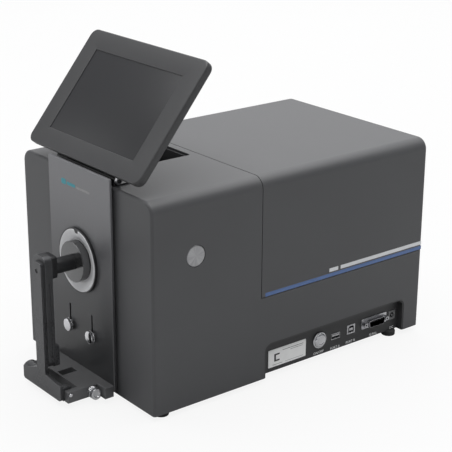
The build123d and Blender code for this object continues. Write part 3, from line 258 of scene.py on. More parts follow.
def dustGroup():
    # fine dust on what faces up, thin and patchy
    tree, given, out = newGroup("dust", [("Amount", "NodeSocketFloat", 0.2)], [("Mask", "NodeSocketFloat")])
    place = tree.nodes.new("ShaderNodeTexCoord").outputs["Object"]
    geometry = tree.nodes.new("ShaderNodeNewGeometry")
    split = tree.nodes.new("ShaderNodeSeparateXYZ")
    tree.links.new(geometry.outputs["Normal"], split.inputs[0])
    upward = calc(tree, "POWER", calc(tree, "MAXIMUM", split.outputs["Z"], 0.0), 3.0)
    cloud = calc(tree, "MULTIPLY", noise(tree, place, 9.0, 6.0, 0.7), noise(tree, place, 900.0, 2.0))
    mask = calc(tree, "MULTIPLY", calc(tree, "MULTIPLY", upward, cloud), given["Amount"], clamp=True)
    tree.links.new(mask, out["Mask"])
    return tree


def ringsGroup():
    # fine turned rings about an axis: a sine of the distance from it, plus radial streaks that paint the
    # sheen of turned metal as lighter sectors
    tree, given, out = newGroup(
        "turnedRings",
        [("Centre", "NodeSocketVector", (0, 0, 0)), ("Across", "NodeSocketVector", (1, 0, 1)),
         ("Rings", "NodeSocketFloat", 9000.0)],
        [("Height", "NodeSocketFloat"), ("Shade", "NodeSocketFloat")])
    place = tree.nodes.new("ShaderNodeTexCoord").outputs["Object"]
    fromCentre = vectorCalc(tree, "SUBTRACT", place, given["Centre"]).outputs[0]
    flat = vectorCalc(tree, "MULTIPLY", fromCentre, given["Across"]).outputs[0]
    radius = vectorCalc(tree, "LENGTH", flat).outputs["Value"]
    wave = calc(tree, "SINE", calc(tree, "MULTIPLY", radius, given["Rings"]))
    direction = vectorCalc(tree, "NORMALIZE", flat).outputs[0]
    streak = noise(tree, direction, 2.6, 1.0)
    tree.links.new(wave, out["Height"])
    tree.links.new(streak, out["Shade"])
    return tree


def fadeGroup():
    # 0 at the lower height and 1 at the upper one, eased at both ends
    tree, given, out = newGroup(
        "heightFade",
        [("Low", "NodeSocketFloat", 0.0), ("High", "NodeSocketFloat", 0.1)],
        [("Mask", "NodeSocketFloat")])
    place = tree.nodes.new("ShaderNodeTexCoord").outputs["Object"]
    split = tree.nodes.new("ShaderNodeSeparateXYZ")
    tree.links.new(place, split.inputs[0])
    ranged = tree.nodes.new("ShaderNodeMapRange")
    ranged.interpolation_type = "SMOOTHSTEP"
    tree.links.new(split.outputs["Z"], ranged.inputs["Value"])
    tree.links.new(given["Low"], ranged.inputs["From Min"])
    tree.links.new(given["High"], ranged.inputs["From Max"])
    tree.links.new(ranged.outputs["Result"], out["Mask"])
    return tree


def boardGroup():
    # copper tracks under solder mask: thin lines between square cells, and small bare pads
    tree, given, out = newGroup(
        "boardTracks", [("Scale", "NodeSocketFloat", 260.0)],
        [("Tracks", "NodeSocketFloat"), ("Pads", "NodeSocketFloat")])
    place = tree.nodes.new("ShaderNodeTexCoord").outputs["Object"]
    cells = tree.nodes.new("ShaderNodeTexVoronoi")
    cells.distance, cells.feature = "CHEBYCHEV", "DISTANCE_TO_EDGE"
    tree.links.new(place, cells.inputs["Vector"])
    tree.links.new(given["Scale"], cells.inputs["Scale"])
    tree.links.new(calc(tree, "LESS_THAN", cells.outputs["Distance"], 0.06), out["Tracks"])
    dots = tree.nodes.new("ShaderNodeTexVoronoi")
    dots.distance = "EUCLIDEAN"
    tree.links.new(place, dots.inputs["Vector"])
    tree.links.new(given["Scale"], dots.inputs["Scale"])
    tree.links.new(calc(tree, "LESS_THAN", dots.outputs["Distance"], 0.14), out["Pads"])
    return tree


groupMakers = (grainGroup, edgeGroup, dustGroup, ringsGroup, fadeGroup, boardGroup)
groups = {make.__name__: make() for make in groupMakers}
print("node groups:", len(groups))

# ---- materials


socketLabels = {
    "second": "Second colour",
    "mottle": "Mottle scale",
    "grain": "Grain scale",
    "inColour": "Grain in colour",
    "spread": "Roughness spread",
}


def placeGroup(tree, name, **values):
    made = tree.nodes.new("ShaderNodeGroup")
    made.node_tree = groups[name]
    for key, value in values.items():
        label = socketLabels.get(key, key.capitalize())
        if label in ("Colour", "Second colour"):
            value = (*value, 1)
        made.inputs[label].default_value = value
    return made


dustColour = (0.42, 0.42, 0.43)
wearAndHighlightWidth = 0.8 * mm
dustRoughness, wearPolish = 0.4, 0.15


def finishOf(name, colour, second, roughness, metallic=0.0, mottle=18.0, grain=1800.0, stretch=(1, 1, 1),
             inColour=0.3, spread=0.12, bump=0.0, bumpDepth=0.00004, wearAndHighlight=0.0, wearAndHighlightColour=(0.3, 0.3, 0.3),
             dust=0.0, rings=None, fade=None, board=None, **shader):
    # grain, then a height fade (on the panel a painted highlight towards the top), tracks, dust and worn
    # edges with a painted edge highlight over it, all into one Principled shader
    made = bpy.data.materials.new(name)
    made.use_nodes = True
    tree = made.node_tree
    principled = tree.nodes["Principled BSDF"]
    base = placeGroup(tree, "grainGroup", colour=colour, second=second, roughness=roughness, mottle=mottle,
                      grain=grain, stretch=stretch, inColour=inColour, spread=spread)
    shown, rough, height = base.outputs["Colour"], base.outputs["Roughness"], base.outputs["Height"]
    if fade:
        # a colour towards the top of the part: on the panel a painted highlight, on the capacitor its real
        # lighter band
        mask = placeGroup(tree, "fadeGroup", low=fade["low"], high=fade["high"]).outputs["Mask"]
        shown = mixColours(tree, mask, shown, fade["colour"])
    if board:
        tracks = placeGroup(tree, "boardGroup", scale=board["scale"])
        shown = mixColours(tree, tracks.outputs["Tracks"], shown, board["track"])
        shown = mixColours(tree, tracks.outputs["Pads"], shown, board["pad"])
    if rings:
        cut = placeGroup(tree, "ringsGroup", **{key: rings[key] for key in ("centre", "across", "rings")})
        # the radial streaks mix in a lighter colour: a painted sheen
        mask = calc(tree, "MULTIPLY", cut.outputs["Shade"], rings["shade"], clamp=True)
        shown = mixColours(tree, mask, shown, rings["colour"])
        height = calc(tree, "ADD", height, calc(tree, "MULTIPLY", cut.outputs["Height"], rings["depth"]))
    if dust:
        mask = placeGroup(tree, "dustGroup", amount=dust).outputs["Mask"]
        shown = mixColours(tree, mask, shown, dustColour)
        rough = calc(tree, "ADD", rough, calc(tree, "MULTIPLY", mask, dustRoughness), clamp=True)
    if wearAndHighlight:
        # worn edges; where the edge colour is lighter than the surface, this is also a painted highlight
        # along the edges
        mask = placeGroup(tree, "edgeGroup", width=wearAndHighlightWidth, amount=wearAndHighlight).outputs["Mask"]
        shown = mixColours(tree, mask, shown, wearAndHighlightColour)
        rough = calc(tree, "SUBTRACT", rough, calc(tree, "MULTIPLY", mask, wearPolish), clamp=True)
    tree.links.new(shown, principled.inputs["Base Color"])
    tree.links.new(rough, principled.inputs["Roughness"])
    if bump:
        raised = tree.nodes.new("ShaderNodeBump")
        raised.inputs["Strength"].default_value = bump
        raised.inputs["Distance"].default_value = bumpDepth
        tree.links.new(height, raised.inputs["Height"])
        tree.links.new(raised.outputs[0], principled.inputs["Normal"])
    principled.inputs["Metallic"].default_value = metallic
    for key, value in shader.items():
        principled.inputs[key.replace("_", " ")].default_value = value
    return made


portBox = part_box("port_ring")
portCentre = (portBox[0] + portBox[1]) / 2
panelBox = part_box("front_panel")
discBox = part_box("side_disc")
discCentre = (discBox[0] + discBox[1]) / 2

finishes = {
    "paint": finishOf(
        "satinPaint", (0.066, 0.066, 0.069), (0.073, 0.074, 0.077), 0.44, mottle=7.0, grain=2600.0,
        inColour=0.5, spread=0.10, bump=0.35, bumpDepth=0.00003, wearAndHighlight=0.30,
        wearAndHighlightColour=(0.15, 0.15, 0.155), dust=0.05, Specular_IOR_Level=0.35),
    "panel": finishOf(
        "anodisedPanel", (0.032, 0.032, 0.034), (0.042, 0.043, 0.045), 0.36, metallic=0.25, mottle=10.0,
        grain=900.0, stretch=(1.0, 1.0, 0.04), inColour=0.35, spread=0.10, bump=0.18, wearAndHighlight=0.5,
        wearAndHighlightColour=(0.5, 0.5, 0.52),
        # the lighter grey towards the panel's top is a painted highlight: the light from above and its
        # reflection painted into the colour
        fade={"low": panelBox[0].z + 0.05, "high": panelBox[1].z, "colour": (0.17, 0.17, 0.178)}),
    "darkFrame": finishOf(
        "mattFrame", (0.026, 0.026, 0.027), (0.032, 0.032, 0.034), 0.55, mottle=30.0, bump=0.25,
        wearAndHighlight=0.2, wearAndHighlightColour=(0.10, 0.10, 0.10)),
    "bay": finishOf(
        "bayPaint", (0.028, 0.028, 0.029), (0.035, 0.035, 0.036), 0.5, mottle=22.0, bump=0.3, wearAndHighlight=0.35,
        wearAndHighlightColour=(0.11, 0.11, 0.115)),
    "armMetal": finishOf(
        "armAnodised", (0.062, 0.062, 0.065), (0.077, 0.078, 0.081), 0.30, metallic=0.55, mottle=26.0,
        grain=1500.0, stretch=(1, 1, 0.25), inColour=0.5, spread=0.14, bump=0.2, wearAndHighlight=0.75,
        wearAndHighlightColour=(0.30, 0.30, 0.31), dust=0.05),
    "stageMetal": finishOf(
        "stageAnodised", (0.115, 0.115, 0.118), (0.135, 0.136, 0.139), 0.32, metallic=0.4, mottle=24.0,
        grain=1500.0, stretch=(0.25, 1, 1), inColour=0.5, spread=0.14, bump=0.2, wearAndHighlight=0.6,
        wearAndHighlightColour=(0.32, 0.32, 0.33), dust=0.05),
    "blackMetal": finishOf(
        "blackAnodised", (0.020, 0.020, 0.021), (0.028, 0.028, 0.030), 0.34, metallic=0.4, mottle=40.0,
        spread=0.14, bump=0.15, wearAndHighlight=0.65, wearAndHighlightColour=(0.22, 0.22, 0.225)),
    "silver": finishOf(
        "polishedSilver", (0.70, 0.70, 0.71), (0.58, 0.58, 0.60), 0.17, metallic=1.0, mottle=60.0,
        grain=2400.0, spread=0.10, bump=0.08, wearAndHighlight=0.4, wearAndHighlightColour=(0.9, 0.9, 0.9)),
    "steel": finishOf(
        "brushedSteel", (0.52, 0.52, 0.53), (0.42, 0.42, 0.44), 0.30, metallic=1.0, mottle=60.0,
        grain=2400.0, stretch=(1, 0.2, 1), spread=0.15, bump=0.12, wearAndHighlight=0.5, wearAndHighlightColour=(0.8, 0.8, 0.8)),
    "ringWhite": finishOf(
        "ringSatin", (0.66, 0.66, 0.67), (0.74, 0.74, 0.75), 0.34, mottle=35.0, spread=0.10, bump=0.1,
        # lighter radial streaks on the ring: painted sheen
        rings={"centre": tuple(portCentre), "across": (1, 0, 1), "rings": 7000.0, "shade": 0.5,
               "colour": (0.82, 0.82, 0.83), "depth": 0.4}),
    "discSilver": finishOf(
        "turnedDisc", (0.24, 0.24, 0.245), (0.20, 0.20, 0.205), 0.34, metallic=1.0, mottle=40.0,
        spread=0.1, bump=0.3,
        # lighter radial streaks on the disc: painted sheen
        rings={"centre": tuple(discCentre), "across": (0, 1, 1), "rings": 9000.0, "shade": 1.0,
               "colour": (0.42, 0.42, 0.43), "depth": 0.5}),
    "pad": finishOf(
        "polishedPad", (0.125, 0.125, 0.127), (0.145, 0.145, 0.147), 0.15, metallic=0.85, mottle=45.0,
        spread=0.06, bump=0.06, wearAndHighlight=0.4, wearAndHighlightColour=(0.5, 0.5, 0.5)),
    "rubber": finishOf(
        "mouldedRubber", (0.016, 0.016, 0.016), (0.024, 0.024, 0.025), 0.75, mottle=60.0, grain=1400.0,
        bump=0.5, dust=0.25),
    "plastic": finishOf(
        "displayPlastic", (0.036, 0.036, 0.0375), (0.042, 0.042, 0.044), 0.48, mottle=9.0, grain=2200.0,
        inColour=0.5, spread=0.10, bump=0.4, bumpDepth=0.00004, wearAndHighlight=0.25, wearAndHighlightColour=(0.13, 0.13, 0.13),
        dust=0.05),
    "screen": finishOf(
        "screenGlass", (0.014, 0.014, 0.0155), (0.019, 0.019, 0.021), 0.34, mottle=6.0, spread=0.08,
        bump=0.02, Coat_Weight=0.2, Coat_Roughness=0.3),
    "label": finishOf(
        "printedLabel", (0.86, 0.86, 0.85), (0.91, 0.91, 0.90), 0.42, mottle=90.0, spread=0.08, bump=0.1,
        wearAndHighlight=0.3, wearAndHighlightColour=(0.5, 0.5, 0.49)),
    "blue": finishOf(
        "blueFilm", (0.034, 0.092, 0.25), (0.045, 0.11, 0.29), 0.24, mottle=30.0, spread=0.08, bump=0.05,
        Coat_Weight=0.4, Coat_Roughness=0.15),
    "white": finishOf(
        "whiteFilm", (0.58, 0.59, 0.61), (0.66, 0.67, 0.68), 0.26, mottle=30.0, spread=0.08, bump=0.05,
        Coat_Weight=0.4, Coat_Roughness=0.15),
    "connector": finishOf(
        "connectorPlastic", (0.13, 0.13, 0.132), (0.155, 0.155, 0.157), 0.42, mottle=80.0, bump=0.2,
        wearAndHighlight=0.3, wearAndHighlightColour=(0.08, 0.08, 0.08)),
    "print": finishOf(
        "whitePrint", (0.86, 0.86, 0.86), (0.93, 0.93, 0.93), 0.5, mottle=200.0, spread=0.1, bump=0.05),
    "greyPrint": finishOf(
        "greyPrint", (0.20, 0.20, 0.20), (0.30, 0.30, 0.30), 0.55, mottle=200.0, spread=0.1, bump=0.05),
    "blackPrint": finishOf(
        "blackPrint", (0.020, 0.020, 0.020), (0.032, 0.032, 0.032), 0.5, mottle=200.0, spread=0.1,
        bump=0.05),
    "teal": finishOf(
        "tealPrint", (0.015, 0.22, 0.27), (0.02, 0.27, 0.32), 0.4, mottle=120.0, spread=0.1, bump=0.05),
    "castMetal": finishOf(
        "machinedCasting", (0.40, 0.40, 0.41), (0.33, 0.33, 0.34), 0.42, metallic=0.9, mottle=24.0,
        grain=1200.0, stretch=(1, 0.15, 1), bump=0.3, wearAndHighlight=0.5, wearAndHighlightColour=(0.7, 0.7, 0.7)),
    "sphereWhite": finishOf(
        "spherePaint", (0.80, 0.80, 0.78), (0.86, 0.86, 0.84), 0.85, mottle=20.0, bump=0.4),
    "board": finishOf(
        "solderMask", (0.012, 0.10, 0.035), (0.018, 0.13, 0.05), 0.4, mottle=30.0, bump=0.2,
        board={"scale": 240.0, "track": (0.05, 0.24, 0.10), "pad": (0.60, 0.50, 0.28)}),
    "capacitor": finishOf(
        "capacitorSleeve", (0.018, 0.02, 0.035), (0.028, 0.03, 0.05), 0.3, mottle=40.0, bump=0.1,
        fade={"low": 0.060, "high": 0.0605, "colour": (0.30, 0.30, 0.31)}),
    "glass": finishOf(
        "opticalGlass", (0.90, 0.95, 0.97), (0.86, 0.93, 0.95), 0.04, mottle=30.0, spread=0.02,
        bump=0.01, Transmission_Weight=0.9, IOR=1.5),
    "mirror": finishOf(
        "ruledMirror", (0.85, 0.86, 0.88), (0.80, 0.83, 0.88), 0.06, metallic=1.0, grain=9000.0,
        stretch=(1, 0.02, 0.02), spread=0.04, bump=0.4),
}
print("materials:", len(finishes))

# ---- shape tools: arrays of loops, one point per column


def linkMesh(name, points, faces, material, sharpAngle=32.0):
    # faces point outwards, and edges sharper than the angle stay crisp
    mesh = bpy.data.meshes.new(name)
    mesh.from_pydata(np.asarray(points, float).reshape(-1, 3).tolist(), [], faces)
    mesh.validate()
    work = bmesh.new()
    work.from_mesh(mesh)
    bmesh.ops.remove_doubles(work, verts=work.verts, dist=1e-6)
    bmesh.ops.recalc_face_normals(work, faces=work.faces)
    work.to_mesh(mesh)
    work.free()
    mesh.shade_smooth()
    mesh.set_sharp_from_angle(angle=math.radians(sharpAngle))
    made = bpy.data.objects.new(name, mesh)
    bpy.context.scene.collection.objects.link(made)
    mesh.materials.append(finishes[material])
    return made


def stackLoops(loops, capStart=True, capEnd=True, ring=False):
    # loops is rows x points x 3; neighbouring rows are joined by quads, ring joins the last row to the first
    rows, count = loops.shape[:2]
    columns = np.arange(count)
    nextColumns = (columns + 1) % count
    firstRows = np.arange(rows if ring else rows - 1)[:, None]
    secondRows = (firstRows + 1) % rows
    quads = np.stack([firstRows * count + columns, firstRows * count + nextColumns,
                      secondRows * count + nextColumns, secondRows * count + columns], axis=-1).reshape(-1, 4)
    faces = quads.tolist()
    if not ring and capStart:
        faces.append(columns[::-1].tolist())
    if not ring and capEnd:
        faces.append(((rows - 1) * count + columns).tolist())
    return loops.reshape(-1, 3), faces


def joinShells(shells):
    points, faces, offset = [], [], 0
    for shellPoints, shellFaces in shells:
        points.append(shellPoints)
        faces += [[i + offset for i in face] for face in shellFaces]
        offset += len(shellPoints)
    return np.concatenate(points), faces


def softened(corners, radius, steps=5, closed=True):
    # each corner p gives way to a curve: (1-t)^2 a + 2t(1-t) p + t^2 b,
    # with a and b a radius away along its two sides
    corners = np.asarray(corners, float)
    radius = np.broadcast_to(np.asarray(radius, float), (len(corners),))[:, None]
    before, after = np.roll(corners, 1, axis=0) - corners, np.roll(corners, -1, axis=0) - corners
    a = corners + before / np.linalg.norm(before, axis=1, keepdims=True) * radius
    b = corners + after / np.linalg.norm(after, axis=1, keepdims=True) * radius
    t = np.linspace(0, 1, steps)[None, :, None]
    curve = (1 - t) ** 2 * a[:, None] + 2 * t * (1 - t) * corners[:, None] + t ** 2 * b[:, None]
    if closed:
        return curve.reshape(-1, 2)
    return np.concatenate([corners[:1], curve[1:-1].reshape(-1, 2), corners[-1:]])


def roundedBox(width, height, radius, steps=9):
    # four quarter circles about the corner centres, counterclockwise
    angle = np.linspace(0, math.pi / 2, steps)[None, :] + (np.arange(4) * math.pi / 2)[:, None]
    signs = np.array([(1, 1), (-1, 1), (-1, -1), (1, -1)])[:, None, :]
    centres = signs * np.array([width / 2 - radius, height / 2 - radius])
    return (centres + radius * np.stack([np.cos(angle), np.sin(angle)], axis=-1)).reshape(-1, 2)


def inset(loop, amount):
    # every point moves inwards along its normal
    tangent = np.roll(loop, -1, axis=0) - np.roll(loop, 1, axis=0)
    tangent /= np.linalg.norm(tangent, axis=1, keepdims=True)
    return loop + amount * np.stack([-tangent[:, 1], tangent[:, 0]], axis=-1)


def insetRows(rows):
    # rows of (outline, inset, depth) to one array of loops
    return np.stack([np.column_stack([inset(loop, i), np.full(len(loop), w)]) for loop, i, w in rows])


def onPlane(points, origin, across, up, out):
    # (u, v, w) to origin + u across + v up + w out
    points = np.asarray(points, float)
    frameAxes = np.array([tuple(across), tuple(up), tuple(out)])
    return points @ frameAxes + np.array(tuple(origin))


def slab(loop, low, high, edge, plane, steps=5):
    # an outline pushed from low to high, its rims rounded by a quarter circle of radius edge
    turn = np.linspace(0, math.pi / 2, steps)
    insets = np.concatenate([edge * (1 - np.sin(turn)), edge * (1 - np.cos(turn))])
    levels = np.concatenate([low + edge * (1 - np.cos(turn)), high - edge * (1 - np.sin(turn))])
    rows = insetRows([(loop, i, w) for i, w in zip(insets, levels)])
    return stackLoops(onPlane(rows, *plane))


def turned(profile, centre, along, segments=72, knurl=None, ring=False):
    # a profile of (along, radius) rows swept round an axis; knurl is (count, depth, low, high) and cuts a
    # sharp-crested wave into the radius between two stations
    along = Vector(along).normalized()
    across = along.orthogonal().normalized()
    up = along.cross(across)
    profile = np.asarray(profile, float)
    angle = np.linspace(0, 2 * math.pi, segments, endpoint=False)
    radius = np.repeat(profile[:, 1:2], segments, axis=1)
    if knurl:
        count, depth, low, high = knurl
        band = ((profile[:, 0] >= low) & (profile[:, 0] <= high))[:, None]
        radius = radius - band * depth * np.abs(np.sin(count * angle / 2))[None, :] ** 1.5
    heights = np.repeat(profile[:, 0:1], segments, axis=1)
    rows = np.stack([radius * np.cos(angle), radius * np.sin(angle), heights], axis=-1)
    return stackLoops(onPlane(rows, centre, across, up, along), ring=ring)


def boxMiddle(node):
    # the two corners of a node's box and its middle
    low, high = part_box(node)
    return low, high, (low + high) / 2


def place(piece, body, slotName, *nodes):
    # the piece rides on its body and stands for its nodes
    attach(piece, body)
    if nodes:
        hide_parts(*nodes)
    return piece


slots = {
    "paint": "housing_paint", "panel": "panel_metal", "darkFrame": "dark_frame", "bay": "dark_frame",
    "armMetal": "arm_metal", "stageMetal": "arm_metal", "blackMetal": "black_metal", "silver": "silver",
    "steel": "steel", "ringWhite": "ring_white", "discSilver": "silver", "pad": "grey_pad",
    "rubber": "rubber", "plastic": "display_plastic", "screen": "screen", "label": "label_white",
    "blue": "stripe_blue", "white": "stripe_white", "connector": "connector_black",
    "castMetal": "cast_metal", "sphereWhite": "sphere_white", "board": "board_green",
    "capacitor": "capacitor_black", "glass": "lens_glass", "mirror": "grating_mirror",
    "print": "label_white", "greyPrint": "label_white", "blackPrint": "label_white",
    "teal": "stripe_blue",
}


def bodyOf(node):
    return frame["nodes"][node]["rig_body"]


def edged(node, material, width, segments=2, angle=28.0):
    # a merged copy of a node with its coplanar faces dissolved and its edges rounded
    work = bmesh.new()
    work.from_mesh(frame["nodes"][node].data)
    bmesh.ops.remove_doubles(work, verts=work.verts, dist=2e-6)
    bmesh.ops.dissolve_limit(work, angle_limit=math.radians(0.4), verts=work.verts, edges=work.edges)
    bmesh.ops.recalc_face_normals(work, faces=work.faces)
    mesh = bpy.data.meshes.new(node + "_edged")
    work.to_mesh(mesh)
    work.free()
    mesh.materials.append(finishes[material])
    mesh.shade_smooth()
    made = bpy.data.objects.new(node + "_edged", mesh)
    bpy.context.scene.collection.objects.link(made)
    bevel = made.modifiers.new("rim", "BEVEL")
    bevel.width, bevel.segments, bevel.limit_method = width * mm, segments, "ANGLE"
    bevel.angle_limit = math.radians(angle)
    weighted = made.modifiers.new("shading", "WEIGHTED_NORMAL")
    weighted.keep_sharp = True
    return place(made, bodyOf(node), slots[material], node)


# ---- carried-over nodes: the finish only, where a node's own shape is right

keptNodes = {
    "darkFrame": ["base_plate", "panel_backer", "lcd_panel"],
    "blackMetal": ["lens_tube", "spectrometer_case", "spectrometer_lid", "lamp_housing"],
    "castMetal": ["optical_bench"],
    "steel": ["board_standoffs"],
    "sphereWhite": ["sphere_front", "sphere_rear"],
    "board": ["detector_board", "main_board", "driver_board"],
    "capacitor": ["flash_capacitor"],
    "glass": ["flash_lamp", "objective_lens"],
    "mirror": ["concave_grating"],
    "blue": ["blue_stripes"],
    "white": ["white_stripes"],
}
for material, nodes in keptNodes.items():
    for node in nodes:
        frame["nodes"][node].data.materials.clear()
        frame["nodes"][node].data.materials.append(finishes[material])

# ---- rounded copies: rim width in millimetres beside each node

edgedNodes = {
    "main_housing": ("paint", 0.5),
    "rear_cover": ("paint", 0.45),
    "front_panel": ("panel", 0.3),
    "port_tube": ("blackMetal", 0.3),
    "aperture_plate": ("ringWhite", 0.2),
    "port_bay": ("bay", 0.5),
    "sample_stage": ("stageMetal", 0.5),
    "arm_plate": ("armMetal", 0.7),
    "arm_spine": ("armMetal", 1.0),
    "arm_head": ("blackMetal", 0.9),
    "hinge_base": ("blackMetal", 0.4),
    "display_leaves": ("blackMetal", 0.3),
    "hinge_pin": ("blackMetal", 0.3),
    "hinge_nut": ("steel", 0.35),
    "port_ring": ("ringWhite", 0.25),
    "side_disc": ("discSilver", 0.35),
    "chamber_liner": ("paint", 0.3),
    "cell_holder": ("blackMetal", 0.4),
    "label_plate": ("label", 0.15),
    "usb_a_port": ("steel", 0.2),
    "usb_b_port": ("steel", 0.2),
    "serial_shell": ("steel", 0.3),
    "serial_insert": ("connector", 0.15),
    "jackscrews": ("steel", 0.3),
    "dc_jack": ("connector", 0.3),
    "button_barrel": ("silver", 0.3),
    "display_bumpers": ("rubber", 0.5),
}
for node, (material, width) in edgedNodes.items():
    edged(node, material, width)
print("rounded copies:", len(edgedNodes))

# ---- display: back shell, bezel and screen

display = {
    "bezelEdge": 1.5 * mm,
    "innerEdge": 0.5 * mm,
    "backEdge": 3.2 * mm,
    "cornerRadius": 9.0 * mm,
    "bezelDepth": 2.4 * mm,
    "depth": 10.0 * mm,
    "screenSink": 0.7 * mm,
    "wall": 2.0 * mm,
    "joint": 0.2 * mm,
    "paneThickness": 1.2 * mm,
    # the raised housing on the back: width, height, corner radius, how far it stands out
    "bulge": (150.0 * mm, 96.0 * mm, 10.0 * mm, 5.5 * mm),
    "bulgeLow": 26.0 * mm,
    "screwRadius": 2.2 * mm,
    "screwPlaces": [(u, v) for u in (-0.42, 0.42) for v in (-0.30, 0.30)],
    # a screw head's outline: depth in millimetres, share of its radius
    "screwHead": [(-0.6, 0.5), (-0.6, 1.0), (0.35, 1.0), (0.55, 0.8), (0.55, 0.45), (-0.1, 0.35)],
}


def displayPlane():
    # the screen's own plane, worked out from the glass: the line through its points gives the lean
    points = np.array([v.co for v in frame["nodes"]["screen_glass"].data.vertices])
    across = np.array([1.0, 0.0, 0.0])
    centred = points - points.mean(axis=0)
    direction = np.linalg.svd(centred[:, 1:], full_matrices=False)[2][0]
    up = np.array([0.0, *(direction * np.sign(direction[1]))])
    out = np.cross(across, up)
    along = points @ up
    depth = points @ out
    middle = (along.min() + along.max()) / 2
    origin = up * middle + out * (depth.max() + display["screenSink"])
    size = (points[:, 0].max() - points[:, 0].min(), along.max() - along.min())
    return origin, across, up, out, size


planeOrigin, planeAcross, planeUp, planeOut, screenSize = displayPlane()
bezelPoints = np.array([v.co for v in frame["nodes"]["display_bezel"].data.vertices])
bezelAlong = bezelPoints @ planeUp
bezelSize = (bezelPoints[:, 0].max() - bezelPoints[:, 0].min(), bezelAlong.max() - bezelAlong.min())
bezelMiddle = planeOrigin + planeUp * ((bezelAlong.min() + bezelAlong.max()) / 2 - planeOrigin @ planeUp)
bezelPlane = (bezelMiddle, planeAcross, planeUp, planeOut)
screenShift = (planeOrigin - bezelMiddle) @ planeUp


def makeBezel():
    # one closed ring: outer wall, rounded front rim, flat front, rounded inner rim, inner wall
    outer = roundedBox(*bezelSize, display["cornerRadius"])
    inner = roundedBox(screenSize[0], screenSize[1], 0.6 * mm) + np.array([0, screenShift])
    turn = np.linspace(0, math.pi / 2, 6)
    depth, edge, rim = display["bezelDepth"], display["bezelEdge"], display["innerEdge"]
    rows = [(outer, 0.0, -depth)]
    rows += [(outer, edge * (1 - math.cos(a)), -edge * (1 - math.sin(a))) for a in turn]
    rows += [(inner, -rim * (1 - math.sin(a)), -rim * (1 - math.cos(a))) for a in turn]
    rows += [(inner, 0.0, -depth)]
    loops = insetRows(rows)
    made = linkMesh("bezel", *stackLoops(onPlane(loops, *bezelPlane), ring=True), "plastic", 40.0)
    return place(made, "display", "display_plastic", "display_bezel")


def makeBack():
    # an open tray with a rounded back rim, a raised housing on it and four screws
    outline = roundedBox(*bezelSize, display["cornerRadius"])
    inner = inset(outline, display["wall"])
    turn = np.linspace(0, math.pi / 2, 7)
    depth, edge = display["depth"], display["backEdge"]
    front = -display["bezelDepth"] - display["joint"]
    rows = [(inner, 0.0, -depth + display["wall"]), (inner, 0.0, front), (outline, 0.0, front)]
    rows += [(outline, edge * (1 - math.cos(a)), -depth + edge * (1 - math.sin(a))) for a in turn]
    shells = [stackLoops(onPlane(insetRows(rows), *bezelPlane))]
    width, height, radius, bulge = display["bulge"]
    shift = np.array([0, -bezelSize[1] / 2 + display["bulgeLow"] + height / 2])
    raised = roundedBox(width, height, radius) + shift
    shells.append(slab(raised, -depth - bulge, -depth + 0.5 * mm, display["wall"], bezelPlane))
    middle = bezelMiddle + planeUp * shift[1] - planeOut * (depth + bulge)
    head = np.array(display["screwHead"]) * (mm, display["screwRadius"])
    for u, v in display["screwPlaces"]:
        spot = middle + u * width * planeAcross + v * height * planeUp
        shells.append(turned(head, spot, -planeOut, 24))
    made = linkMesh("displayShell", *joinShells(shells), "plastic", 40.0)
    return place(made, "display", "display_plastic", "display_back")


def makeScreen():
    # a thin pane with a fine rounded rim
    clear = 0.1 * mm
    pane = roundedBox(screenSize[0] - clear, screenSize[1] - clear, 0.5 * mm)
    face = -display["screenSink"]
    plane = (planeOrigin, planeAcross, planeUp, planeOut)
    shell = slab(pane, face - display["paneThickness"], face, 0.25 * mm, plane)
    made = linkMesh("screenPane", *shell, "screen", 40.0)
    return place(made, "display", "screen", "screen_glass")


makeBezel()
makeBack()
makeScreen()
print("display made")

# ---- measuring port and press

port = {
    "core": 0.2 * mm,           # hole left along each turned piece's axis
    "padEdge": 0.5 * mm,
    "rodGroove": 0.72,          # groove's place, as a share of the rod's thick part
    "grooveDepth": 0.5 * mm,
    "grooveHalf": 0.5 * mm,
    "grooveSlope": 0.1 * mm,
    "stem": 2.0 * mm,
    "stemLength": 12.0 * mm,
}


def makePad():
    # the press pad: a plain polished disc with fine rounded rims, and a soft cushion on its back
    core, edge = port["core"], port["padEdge"]
    low, high, middle = boxMiddle("press_pad")
    radius, depth = (high.x - low.x) / 2, high.y - low.y
    corners = [(0, core), (0, radius), (depth, radius), (depth, core)]
    profile = softened(corners, [0, edge, edge, 0], 6, closed=False)
    disc = turned(profile, (middle.x, high.y, middle.z), (0, -1, 0), 112)
    place(linkMesh("pressPad", *disc, "pad", 50.0), bodyOf("press_pad"), "grey_pad", "press_pad")
    low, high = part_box("pad_cushion")
    radius, depth = (high.x - low.x) / 2, high.y - low.y
    corners = [(0, core), (0.25 * mm, radius * 0.6), (0, radius), (depth, radius), (depth, core)]
    profile = softened(corners, [0, 2 * mm, 0.6 * mm, 0.1 * mm, 0], 6, closed=False)
    soft = turned(profile, (middle.x, high.y, middle.z), (0, -1, 0), 96)
    place(linkMesh("padCushion", *soft, "rubber", 50.0), bodyOf("pad_cushion"), "rubber", "pad_cushion")


def makeRod():
    # the press rod from the pad to its stem in the arm, with one turned groove
    core, stem = port["core"], port["stem"]
    low, high, middle = boxMiddle("press_rod")
    length, thick = high.y - low.y, (high.x - low.x) / 2
    tail = length - port["stemLength"]
    spot, cut = port["rodGroove"] * tail, thick - port["grooveDepth"]
    rim, floor = port["grooveHalf"] + port["grooveSlope"], port["grooveHalf"] - port["grooveSlope"]
    corners = [(0, core), (0, thick),
               (spot - rim, thick), (spot - floor, cut), (spot + floor, cut), (spot + rim, thick),
               (tail, thick), (tail, stem), (length, stem), (length, core)]
    radii = [0, 0.2 * mm] + [0.08 * mm] * 4 + [0.6 * mm, 0.3 * mm, 0.4 * mm, 0]
    profile = softened(corners, radii, 5, closed=False)
    rod = turned(profile, (middle.x, high.y, middle.z), (0, -1, 0), 80)
    place(linkMesh("pressRod", *rod, "blackMetal", 40.0), bodyOf("press_rod"), "black_metal", "press_rod")


